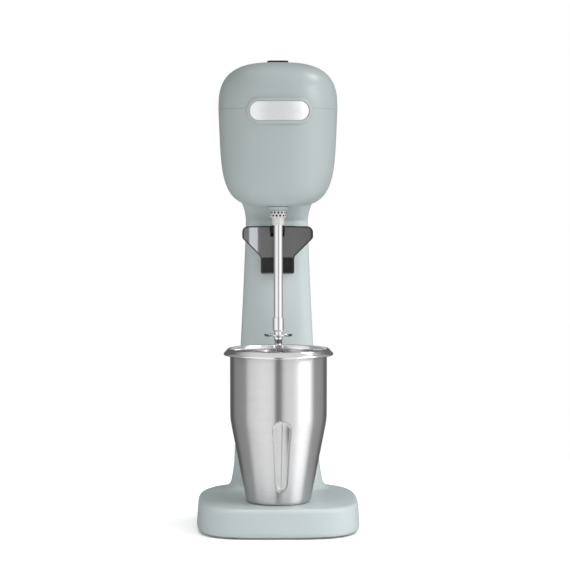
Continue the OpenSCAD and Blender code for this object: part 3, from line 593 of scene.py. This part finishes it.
# A is half a width and B half a depth
BASE_A = 85
BASE_B = 98
BASE_TOP = 31
BASE_ROUND = 5
BASE_TAPER = 1.2
BASE_INSIDE = 28
CORD_X = 45
CORD_Z = 16
CORD_HOLE_R = 9.5
# The column meets the head's neck at NECK_Z, and flares out from FLARE_TOP down
NECK_Z = 320
FLARE_TOP = 60
FLARE_SPREAD = 1.8
FOOT_FILLET = 8
COLUMN_TOP_A = 33.3
COLUMN_SPREAD = 12.9
COLUMN_CURVE = 1.2
COLUMN_FRONT = 34
COLUMN_BACK = 84
# The opening behind the column that the rear cover closes
REAR_Y = 74
REAR_LOW = 48
REAR_HIGH = 306
# Height of each row of the cover's screws, and how far back their heads sit
REAR_SCREW_ROWS = ((62, 81.6), (292, 79.8))
REAR_SCREW_HOLE_R = 3.7
SCREW_X = 14


def base_ring(inset, z):
    return ring(BASE_A - inset, BASE_B - inset, 0, z, FRONT_POWER)


def base_outer():
    """Rings of the base's outside, from its rounded foot up to its top edge."""
    rings = [base_ring(2.2, 2), base_ring(1.2, 2.5), base_ring(0.6, 3.4), base_ring(0.15, 4.6)]
    side_top = BASE_TOP - BASE_ROUND
    rings += [base_ring(BASE_TAPER * (z - 6) / 20, z) for z in steps(6, side_top, 6)]
    for f in steps(0, 90, 10)[1:]:
        a = math.radians(f)
        inset = BASE_TAPER + BASE_ROUND * (1 - math.cos(a))
        rings.append(base_ring(inset, BASE_TOP - BASE_ROUND * (1 - math.sin(a))))
    return rings


def foot_flare(z):
    """How far the column's foot spreads at height z, and the fillet where it meets the base."""
    spread = FLARE_SPREAD * ((FLARE_TOP - z) / 20) ** 1.5 if z < FLARE_TOP else 0
    low = BASE_TOP + FOOT_FILLET - z
    if low > 0:
        spread += FOOT_FILLET * (1 - math.sqrt(max(0, 1 - (low / FOOT_FILLET) ** 2)))
    return spread


def column_half(z):
    below = max(0, NECK_Z - z) / (NECK_Z - FLARE_TOP)
    return COLUMN_TOP_A + COLUMN_SPREAD * below**COLUMN_CURVE


def column_ring(z, inset):
    """The column's outline at height z, drawn in by inset."""
    t = z / NECK_Z
    flare = foot_flare(z)
    front = COLUMN_FRONT - 3 * t - flare + inset
    back = COLUMN_BACK - 2 * t + flare / 2 - inset
    half = column_half(z) + flare - inset
    return ring(half, (back - front) / 2, (back + front) / 2, z)


def column_levels():
    top = BASE_TOP + FOOT_FILLET
    fillet = [top - FOOT_FILLET * math.sin(math.radians(f)) for f in steps(90, 9, 9)]
    return fillet + [39, 42, 46, 50, 55, 60] + steps(70, NECK_Z, 25)


def make_stand():
    outer = base_outer() + [column_ring(z, 0) for z in column_levels()]
    inner = [column_ring(z, WALL) for z in steps(NECK_Z, FLARE_TOP, 12)]
    inner.append([(x, y, BASE_INSIDE) for x, y, _ in column_ring(FLARE_TOP, WALL)])
    inner += [base_ring(WALL + 4, BASE_INSIDE), base_ring(WALL + 1, 24), base_ring(WALL + 1, 2)]
    stand = solid("stand_shell", outer + inner, True, "painted_shell", "stand")
    cutters = [
        block("cut_rear", (-60, REAR_Y, REAR_LOW), (60, 120, REAR_HIGH)),
        rod_y("cut_cord", CORD_HOLE_R, CORD_X, CORD_Z, 88.5, 110),
    ]
    combine(stand, cutters)
    soften(stand)
    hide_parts("stand_casting")
    make_column_fill(stand)
    make_top_fill(stand)

    cover_outer = [column_ring(z, 0) for z in steps(44, 310, 44)]
    cover_inner = [column_ring(z, WALL) for z in steps(310, 44, 22)]
    cover = solid("rear_cover_shell", cover_outer + cover_inner, True, "painted_shell", "stand")
    front_low = (-60, REAR_Y + JOINT_GAP, REAR_LOW + JOINT_GAP)
    combine(cover, [block("keep_rear", front_low, (60, 120, REAR_HIGH - JOINT_GAP))], "INTERSECT")
    holes = []
    for z, seat in REAR_SCREW_ROWS:
        holes += [rod_y("hole", REAR_SCREW_HOLE_R, x, z, seat, 100) for x in (-SCREW_X, SCREW_X)]
    combine(cover, holes)
    soften(cover)
    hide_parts("rear_cover")


# ---- head --------------------------------------------------------------------------------------

HEAD_A = 62
HEAD_B = 88
HEAD_TOP = 485.7
HEAD_BOTTOM = 336
SEAM_Z = 436
DOME_Z = 436.5
DOME_POWER = 2.9
BOWL_Z = 423.7
BOWL_POWER = 4.2
# Angles along the curve of a dome or bowl, close together at both ends
CLOSING_STEPS = [0, 0.15, 0.5, 1, 2, 3.5, 5.5, 8]
CLOSING_STEPS += range(11, 80, 3)
CLOSING_STEPS += [81, 83, 85, 86.5, 87.7, 88.6, 89.2]
SEAM_DEPTH = 0.22
# The neck runs into the head's bowl up to this height
NECK_TOP = 406
# Vents behind the neck
VENT_PITCH = 8
VENT_HALF = 1.5
# The cover's screws at the back, and the opening for the speed switch on top
COVER_SCREW_Z = 446
COVER_SCREW_HOLE_R = 3.6
SWITCH_LOW = (-10.2, -8.2, 470)
SWITCH_HIGH = (10.2, 20.2, 500)
NOSE_HOLE_R = 10.1


def head_taper(z):
    """The head's sides draw in a little below the seam."""
    return 0.042 * (SEAM_Z - z) if z < SEAM_Z else 0


def head_ring(z, scale, inset):
    a = HEAD_A - head_taper(z) - inset
    b = HEAD_B - head_taper(z) - inset
    return ring(a * scale, b * scale, 0, z)


def closing(f, power):
    """Height share and outline share at angle f of a dome or bowl."""
    a = math.radians(f)
    return math.sin(a) ** (2 / power), math.cos(a) ** (2 / power)


def dome_rings(inset):
    rings = []
    for f in CLOSING_STEPS:
        rise, scale = closing(f, DOME_POWER)
        rings.append(head_ring(DOME_Z + (HEAD_TOP - DOME_Z - inset) * rise, scale, inset))
    return rings


def bowl_rings(inset):
    rings = []
    for f in reversed(CLOSING_STEPS):
        drop, scale = closing(f, BOWL_POWER)
        rings.append(head_ring(BOWL_Z - (BOWL_Z - HEAD_BOTTOM - inset) * drop, scale, inset))
    return rings + [head_ring(430, 1, inset)]


def closed_scale(rise, power):
    """Outline share at a height share of a dome or bowl."""
    return math.cos(math.asin(min(1, max(0, rise) ** (power / 2)))) ** (2 / power)


def bowl_scale(z):
    return closed_scale((BOWL_Z - z) / (BOWL_Z - HEAD_BOTTOM), BOWL_POWER)


def dome_scale(z):
    return closed_scale((z - DOME_Z) / (HEAD_TOP - DOME_Z), DOME_POWER)


def neck_spread(z):
    """How much wider each side of the neck is than the column's top."""
    return min(26, 0.0131 * (z - NECK_Z) ** 2 + (z - NECK_Z) * 0.056)


def smooth_step(t):
    u = max(0, min(1, t))
    return u * u * (3 - 2 * u)


def neck_ring(z):
    """The neck's outline: the column's, spreading until it lies within the head's."""
    spread = neck_spread(z)
    front = 31 - 1.2 * spread
    back = 82 + 0.2 * spread
    outline = ring(COLUMN_TOP_A + spread, (back - front) / 2, (back + front) / 2, z)
    closed_in = (HEAD_A - head_taper(z)) * bowl_scale(z)
    half = max(COLUMN_TOP_A + spread, closed_in) if z <= 356 else closed_in
    a = half - 0.2
    b = HEAD_B - head_taper(z) - 0.2
    share = smooth_step((z - NECK_Z) / 46)
    result = []
    for x, y, _ in outline:
        k = max(1, ((abs(x) / a) ** PLAN_POWER + (abs(y) / b) ** PLAN_POWER) ** (1 / PLAN_POWER))
        m = 1 + (k - 1) * share
        result.append((x / m, y / m, z))
    return result


def make_head():
    seam_lip = [(SEAM_Z - 0.25, 0), (SEAM_Z, SEAM_DEPTH), (SEAM_Z + 0.35, SEAM_DEPTH + 0.02)]
    rings = bowl_rings(0) + [head_ring(z, 1, inset) for z, inset in seam_lip]
    housing = solid("head_shell", rings, False, "painted_shell", "stand")
    neck = solid("neck", [neck_ring(z) for z in steps(NECK_Z, NECK_TOP, 43)])
    combine(housing, [neck], "UNION")
    hollow = solid("hollow", bowl_rings(WALL) + [head_ring(SEAM_Z + 1, 1, WALL)])
    slots = []
    for i in range(-3, 4):
        x = VENT_PITCH * i
        slots.append(block("slot", (x - VENT_HALF, 72, 390), (x + VENT_HALF, 92, 416)))
    nose = solid("nose", lathe([(NOSE_HOLE_R, 331), (NOSE_HOLE_R, 343)], 0, SPINDLE_Y))
    combine(housing, [hollow, nose] + slots)
    soften(housing)
    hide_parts("head_housing")

    seam_edge = [head_ring(SEAM_Z + 0.4, 1, SEAM_DEPTH), head_ring(SEAM_Z + 0.65, 1, 0)]
    cover = solid("head_cover_shell", seam_edge + dome_rings(0)[1:], False, "painted_shell", "stand")
    cutters = [
        solid("hollow", [head_ring(SEAM_Z - 1, 1, WALL)] + dome_rings(WALL)),
        block("cut_switch", SWITCH_LOW, SWITCH_HIGH),
    ]
    for x in (-SCREW_X, SCREW_X):
        cutters.append(rod_y("hole", COVER_SCREW_HOLE_R, x, COVER_SCREW_Z, 85.6, 100))
    combine(cover, cutters)
    soften(cover)
    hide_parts("head_cover")


# ---- cup ---------------------------------------------------------------------------------------

CUP_Z = 31.05
CUP_H = 159
CUP_R = 50
CUP_FOOT_R = 33
CUP_WALL = 1
CONE_H = 86
FLUTES = 3
# Degrees that the front flute stands to the right of the middle
FLUTE_TURN = 3.5
FLUTE_LOW = 14.5
FLUTE_HIGH = 88.5
FLUTE_END_R = 9.5
FLUTE_EDGE = 1.1
FLUTE_DEPTH = 2.4
FLUTE_CREASE = 0.7


def cup_radius(h):
    """Outer radius of the cup's wall at height h above its foot."""
    cone = CUP_FOOT_R + (CUP_R - CUP_FOOT_R) * h / CONE_H
    blend = 0.7
    gap = cone - CUP_R
    return CUP_R + 0.5 * (gap - math.sqrt(gap * gap + blend)) + 0.02


def flute_half_width(h):
    """Half the width of a flute at height h: narrow below, wide above, with round ends."""
    t = (h - FLUTE_LOW) / (FLUTE_HIGH - FLUTE_LOW)
    waist = 6.8 + 2.6 * t + 0.8 * smooth_step((t - 0.55) / 0.3)
    ends = min(t, 1 - t) * (FLUTE_HIGH - FLUTE_LOW)
    if ends <= 0:
        return 0
    if ends < FLUTE_END_R:
        waist *= math.sqrt(1 - (1 - ends / FLUTE_END_R) ** 2)
    return waist


def flute_depth(u, h):
    """How far the wall is pressed in at arc distance u from a flute's middle."""
    half = flute_half_width(h)
    if half <= 0.2:
        return 0.0
    step = smooth_step((half - abs(u)) / FLUTE_EDGE)
    vee = 1.0 - min(1.0, math.hypot(u, FLUTE_CREASE) / half)
    return FLUTE_DEPTH * step + FLUTE_DEPTH * step * vee


def cup_angles():
    """Directions round the cup, close together across each flute."""
    fine = [math.radians(a) for a in steps(-14, 14, 80)]
    coarse = [math.radians(a) for a in steps(14, 106, 30)][1:-1]
    result = []
    for i in range(FLUTES):
        middle = math.radians(FLUTE_TURN - 90 + 120 * i)
        result += [middle + a for a in fine + coarse]
    return result


def cup_ring(h, inset):
    """The cup's wall with its flutes at height h above its foot."""
    result = []
    base = cup_radius(h) - inset
    share = 2 * math.pi / FLUTES
    for angle in cup_angles():
        offset = (angle - math.radians(FLUTE_TURN - 90)) % share
        offset = min(offset, share - offset)
        r = base - flute_depth(offset * cup_radius(h), h)
        result.append((r * math.cos(angle), CUP_Y + r * math.sin(angle), CUP_Z + h))
    return result


def round_ring(r, h):
    return [(r * math.cos(a), CUP_Y + r * math.sin(a), CUP_Z + h) for a in cup_angles()]


def make_cup():
    foot = [(0.01, 1.5), (26, 1.5), (27, 1.3), (28, 0.3)]
    foot += [(28.8, 0), (30.2, 0), (31.4, 0.35), (32.4, 1.2)]
    rings = [round_ring(r, h) for r, h in foot]
    rings += [cup_ring(h, 0) for h in [2.6, 5, 8, 11]]
    rings += [cup_ring(h, 0) for h in steps(13, 92, 79)]
    rings += [cup_ring(h, 0) for h in steps(94, CUP_H - 7, 16)]
    lip_under = [(50.1, -5.6), (50.4, -4.4), (51.2, -3.6), (52.4, -3.9), (54.2, -5.4), (55.4, -6.4)]
    lip_edge = [(56.1, -6.6), (56.6, -6.1), (56.7, -5.4), (56.4, -4.7), (55.2, -3.5), (53.4, -1.6)]
    lip_top = [(52.5, -0.6), (51.8, -0.1), (51.0, 0.0), (50.2, -0.25), (49.5, -0.9), (49.1, -2.0)]
    rim = lip_under + lip_edge + lip_top
    rings += [round_ring(r, CUP_H + h) for r, h in rim]
    rings += [cup_ring(h, CUP_WALL) for h in steps(CUP_H - 5, 94, 16)]
    rings += [cup_ring(h, CUP_WALL) for h in steps(92, 13, 79)]
    rings += [cup_ring(h, CUP_WALL) for h in [11, 8, 5.5]]
    rings += [round_ring(r, h) for r, h in [(31.8, 3.6), (31.0, 2.7), (29.6, 2.5), (0.01, 2.5)]]
    cup = solid("cup_shell", rings, False, "cup_steel", "cup")
    cup.data.materials.append(rim_steel)
    # the rim and the inside just below it are polished
    for face in cup.data.polygons:
        height = face.center.z / MM - CUP_Z
        r = math.hypot(face.center.x, face.center.y - CUP_Y * MM) / MM
        polished_height = 7 if r > CUP_R - 0.4 else 12
        if height > CUP_H - polished_height:
            face.material_index = 1
    soften(cup, 50)
    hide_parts("mixing_cup")


# ---- agitator ----------------------------------------------------------------------------------

DISC_THICK = 0.8
DISC_WAVES = 6
# The flat middle of a disc, inside its waves
DISC_HUB_R = 4.5


def wavy_ring(r, z, lift):
    """A circle of radius r round the spindle, whose height waves by lift."""
    points = 144
    result = []
    for i in range(points):
        a = 2 * math.pi * i / points
        up = z + lift * math.cos(DISC_WAVES * a)
        result.append((r * math.cos(a), SPINDLE_Y + r * math.sin(a), up))
    return result


def make_wavy_disc(name, node, radius, z, height):
    """A thin disc whose edge is crimped up and down by height."""
    radii = [2.55, 3.5, 5, 7, 9, 11, 12.5, radius - 0.7, radius - 0.15]
    lifts = [height * smooth_step((r - DISC_HUB_R) / (radius - DISC_HUB_R)) for r in radii]
    under = [wavy_ring(r, z, lift) for r, lift in zip(radii, lifts)]
    edge = wavy_ring(radius, z + DISC_THICK / 2, height)
    top = [wavy_ring(r, z + DISC_THICK, lift) for r, lift in zip(radii, lifts)]
    disc = solid(name, under + [edge] + top[::-1], True, "polished_steel", "spindle")
    soften(disc, 60)
    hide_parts(node)


def make_agitator():
    make_wavy_disc("agitator_wave_upper", "agitator_disc_upper", 14.75, 202.2, 1.3)
    make_wavy_disc("agitator_wave_lower", "agitator_disc_lower", 12.75, 180.95, 1.1)


# (radius, height) pairs down the bore of the chuck, round its nose and up to its top
CHUCK_NOSE = [(4.9, 322.5), (4.9, 317.3), (5.1, 317), (5.9, 317), (6.2, 317.2)]
CHUCK_NOSE += [(6.4, 317.8), (6.4, 323.6)]
CHUCK_SHOULDER = [(6.6, 324.2), (7.4, 324.7), (8.3, 324.9), (8.6, 325.2)]
CHUCK_GRIP = [(8.65, 325.7), (8.65, 331.3), (8.5, 331.75), (8.2, 332), (4.3, 332), (4.3, 322.5)]
DIMPLES = 14
DIMPLE_ROWS = (327.0, 330.0)
DIMPLE_R = 1.15
# Radius of the circle that the dimples' centres lie on
DIMPLE_RING_R = 8.7


def make_chuck():
    """The sleeve over the rod's end, with two staggered rows of dimples round its grip."""
    profile = CHUCK_NOSE + CHUCK_SHOULDER + CHUCK_GRIP
    chuck = solid("chuck_sleeve", lathe(profile, 0, SPINDLE_Y), True, "polished_steel", "spindle")
    chuck.data.materials.clear()
    chuck.data.materials.append(sleeve_look)
    # the second material, black, is painted shade for the dimples' insides
    chuck.data.materials.append(looks["matte_black"])
    dimples = []
    half_circle = steps(0, math.pi, 8)
    for row, z in enumerate(DIMPLE_ROWS):
        ball = [(max(0.01, DIMPLE_R * math.sin(a)), z - DIMPLE_R * math.cos(a)) for a in half_circle]
        for i in range(DIMPLES):
            turn = 2 * math.pi * (i + row / 2) / DIMPLES
            x = DIMPLE_RING_R * math.cos(turn)
            y = SPINDLE_Y + DIMPLE_RING_R * math.sin(turn)
            dimples.append(solid("dimple", lathe(ball, x, y, 12)))
    combine(chuck, dimples)
    # the dimples' insides are painted black: painted shade in the hollows
    row_low = DIMPLE_ROWS[0] - 1.5
    row_high = DIMPLE_ROWS[1] + 1.4
    for face in chuck.data.polygons:
        r = math.hypot(face.center.x, face.center.y - SPINDLE_Y * MM) / MM
        if row_low * MM < face.center.z < row_high * MM and 7 < r < 8.4:
            face.material_index = 1
    soften(chuck, 35)
    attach(chuck, "spindle")
    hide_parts("spindle_chuck")


# ---- holder ------------------------------------------------------------------------------------

# Radii from the spindle's axis: the glossy face, the edge round it and the holder's outside
FACE_R = 51.15
EDGE_R = 50.8
HOLDER_OUTSIDE_R = 55.8
HOLDER_LOW = 264.2
HOLDER_TOP = 314.6
STEM_X = 17.7
# Width of the dark edge round the glossy face
OUTLINE_WIDTH = 1.25
# The ribbed pad on the stem
PAD_X = 16.1
PAD_RIBS = 26
RIB_DEPTH = 0.35
PAD_FRONT_R = 51.6
PAD_BACK = 24.6
# Height of each layer, its share of the width and how far its ribs are set back
PAD_LAYERS = ((266.0, 0.99, 0.25), (266.3, 1, 0), (280.9, 1, 0), (281.2, 0.99, 0.25))


def arc(cx, cz, r, start, end, count):
    return [
        (cx + r * math.cos(math.radians(a)), cz + r * math.sin(math.radians(a)))
        for a in steps(start, end, count)
    ]


def extrude_y(name, outline, y0, y1):
    rings = [[(x, y, z) for x, z in outline] for y in (y0, y1)]
    return solid(name, rings)


def holder_outline(inset=0.0):
    """Right half from the bottom of the stem up to the wing's top, then mirrored."""
    half = arc(STEM_X - 2, HOLDER_LOW + 2, 2 - inset, -90, 0, 6)
    half += [(STEM_X - inset, 279.7), (18.1 - inset * 0.9, 281.8 + inset * 0.4)]
    half += [(19.0 - inset * 0.7, 283.4 + inset * 0.7)]
    half += arc(33.3, 304.0, 4 - inset, -42, 0, 6)
    half += arc(31.3, HOLDER_TOP - 6, 6 - inset, 0, 90, 12)
    return half + [(-x, z) for x, z in reversed(half)]


def column_behind():
    """The column's outside, which the back of the holder is cut to."""
    return solid("column_behind", [column_ring(z, -0.05) for z in (230, NECK_Z)])


def face_recess():
    """The cradle's glossy face lies a little deeper than the edge round it."""
    recess = extrude_y("face_recess", holder_outline(OUTLINE_WIDTH), 0, 44)
    deep = solid("deep", lathe([(FACE_R, 240), (FACE_R, 340)], 0, SPINDLE_Y, 256))
    combine(recess, [deep], "INTERSECT")
    return recess


def make_holder():
    holder = extrude_y("holder_shell", holder_outline(), 2, 45)
    outside_profile = [(HOLDER_OUTSIDE_R, 250), (HOLDER_OUTSIDE_R, 330)]
    outside = solid("outside", lathe(outside_profile, 0, SPINDLE_Y, 256))
    stem = [(-STEM_X, HOLDER_LOW), (STEM_X, HOLDER_LOW), (STEM_X, HOLDER_TOP), (-STEM_X, HOLDER_TOP)]
    core = extrude_y("stem_core", stem, 20, 45)
    combine(core, [extrude_y("stem_outline", holder_outline(), 0, 60)], "INTERSECT")
    combine(holder, [outside], "INTERSECT")
    combine(holder, [core], "UNION")
    cutters = [
        solid("inside", lathe([(EDGE_R, 240), (EDGE_R, 340)], 0, SPINDLE_Y, 256)),
        column_behind(),
        block("pocket", (-7.5, 19, 303.5), (7.5, 29.2, 320)),
        face_recess(),
        block("pad_recess", (-16.2, 10, 265.8), (16.2, 24.4, 281.4)),
    ]
    combine(holder, cutters)
    holder.data.materials.clear()
    holder.data.materials.append(looks["gloss_black"])
    holder.data.materials.append(looks["matte_black"])
    # only the faces that lie on the glossy face's radius shine
    for face in holder.data.polygons:
        r = math.hypot(face.center.x, face.center.y - SPINDLE_Y * MM) / MM
        face.material_index = 0 if abs(r - FACE_R) < 0.12 else 1
    soften(holder, 40)
    round_edges(holder, 0.3, 2, 40)
    even = holder.modifiers.new("even", "WEIGHTED_NORMAL")
    even.keep_sharp = True
    settle(holder)
    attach(holder, "stand")
    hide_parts("cup_holder")
    # a tall soft box on the right that only the glossy cradle shows
    place = (1.31, -0.75, 0.3)
    lamp = make_area_light("holder_box", place, (0, 0, 0.29), (0.62, 2.0), HOLDER_BOX_POWER)
    lamp.data.color = (0.86, 0.90, 1.0)
    light_only(lamp, [holder])


def make_grip_pad():
    """The ribbed lower part of the holder: upright ribs on a concave face."""
    front = []
    for x in steps(-PAD_X, PAD_X, PAD_RIBS * 8):
        phase = (x + PAD_X) / (2 * PAD_X) * PAD_RIBS * 2 * math.pi
        rib = RIB_DEPTH * (0.5 - 0.5 * math.cos(phase))
        front.append((x, SPINDLE_Y + math.sqrt(PAD_FRONT_R**2 - x * x) - rib))
    back = [(PAD_X, PAD_BACK), (-PAD_X, PAD_BACK)]
    rings = []
    for z, width, set_back in PAD_LAYERS:
        layer = [(x * width, y + set_back, z) for x, y in front]
        rings.append(layer + [(x * width, y, z) for x, y in back])
    pad = solid("grip_pad_ribbed", rings, False, "matte_black", "stand")
    soften(pad, 50)
    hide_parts("holder_grip_pad")


# ---- badge -------------------------------------------------------------------------------------

BADGE_Z = 433.4
BADGE_WIDTH = 67.4
BADGE_HEIGHT = 26.9
PLATE_PROUD = 1.25


def head_front(x, z):
    """Front face of the head at x and z."""
    a = HEAD_A - head_taper(z)
    b = HEAD_B - head_taper(z)
    scale = bowl_scale(z) * dome_scale(z)
    share = (abs(x) / (a * scale)) ** PLAN_POWER
    return -b * scale * (1 - share) ** (1 / PLAN_POWER)


def pill_outline(width, height):
    r = height / 2
    cx = width / 2 - r
    right = arc(cx, BADGE_Z, r, -90, 90, 32)
    left = arc(-cx, BADGE_Z, r, 90, 270, 32)
    top = [(x, BADGE_Z + r) for x in steps(cx, -cx, 24)][1:-1]
    bottom = [(x, BADGE_Z - r) for x in steps(-cx, cx, 24)][1:-1]
    return right + top + left + bottom


def pill_ring(inset, proud):
    """The badge's outline, drawn in by inset, standing proud of the head's front."""
    outline = pill_outline(BADGE_WIDTH - 2 * inset, BADGE_HEIGHT - 2 * inset)
    return [(x, head_front(x, z) - proud, z) for x, z in outline]


def make_badge():
    profile = [(0, -2.0), (0, 0.4), (0.3, 1.2), (0.9, 1.9), (1.7, 2.2), (2.5, 2.2), (3.1, 2.0)]
    profile += [(3.4, 1.6), (3.5, 0.6), (3.5, -2.0)]
    rings = [pill_ring(inset, proud) for inset, proud in profile]
    frame_piece = solid("badge_ring", rings, True, "painted_shell", "stand")
    soften(frame_piece, 50)
    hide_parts("badge_frame")
    rings = [pill_ring(3.55, 0.1), pill_ring(3.55, 1.0)]
    rings += [pill_ring(inset, PLATE_PROUD) for inset in (3.8, 5.5, 8, 10.5, 12.5, 13.44)]
    plate = solid("badge_face", rings, False, "badge_silver", "stand")
    soften(plate, 50)
    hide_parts("badge_plate")


# ---- everything --------------------------------------------------------------------------------


def dress_cad_nodes():
    """The record's slot looks on every CAD node, and small rounded edges on a few of them."""
    slot_of = {s["node"]: s["material_slot"] for s in frame["record"]["subparts"]}
    for name, obj in nodes.items():
        obj.data.materials.clear()
        obj.data.materials.append(looks[slot_of[name]])
    for name, width in (
        ("switch_rocker", 0.5),
        ("switch_housing", 0.4),
        ("start_plunger", 0.5),
        ("rubber_feet", 0.5),
        ("cord_inlet_bush", 0.4),
        ("spindle_rod", 0.2),
        ("spindle_nose_bush", 0.3),
        ("agitator_sleeve", 0.3),
        ("agitator_spool", 0.2),
        ("agitator_tip_nut", 0.3),
    ):
        round_edges(nodes[name], width, 2, 35)


# Metres: the table top's radius, and the radius at which it starts to fade to white
FLOOR_RADIUS = 0.62
FLOOR_FADE = 0.38


def make_floor():
    """A pale round table top that turns into plain white towards its edge."""
    rim = [(x, y, 0) for x, y in circle_points(FLOOR_RADIUS, 128)]
    mesh = bpy.data.meshes.new("floor")
    mesh.from_pydata(rim, [], [tuple(range(len(rim)))])
    floor = link(bpy.data.objects.new("floor", mesh))
    look = Look("floor_white", (0.93, 0.93, 0.93), 0.6)
    look.vary_roughness(look.noise(look.place, 30, 3), 0.55, 0.65)
    look.set("Specular IOR Level", 0.2)
    length = look.tree.nodes.new("ShaderNodeVectorMath")
    length.operation = "LENGTH"
    look.join(look.place, length.inputs[0])
    fade = look.spread(length.outputs["Value"], 0, 1, FLOOR_FADE, FLOOR_RADIUS - 0.02)
    glow = look.tree.nodes.new("ShaderNodeEmission")
    mix = look.tree.nodes.new("ShaderNodeMixShader")
    look.join(fade, mix.inputs[0])
    look.join(look.shader.outputs[0], mix.inputs[1])
    look.join(glow.outputs[0], mix.inputs[2])
    look.join(mix.outputs[0], look.tree.nodes["Material Output"].inputs["Surface"])
    mesh.materials.append(look.material)
    floor.visible_glossy = False
    lamp = make_area_light("floor_light", (0, 0, 1.6), (0, 0, 0), (2.2, 2.2), FLOOR_POWER)
    light_only(lamp, [floor])


make_camera()
make_studio()
make_lights()
dress_cad_nodes()
make_stand()
make_head()
make_badge()
make_holder()
make_grip_pad()
make_cup()
make_agitator()
make_chuck()
make_floor()

scene.view_settings.view_transform = "Standard"
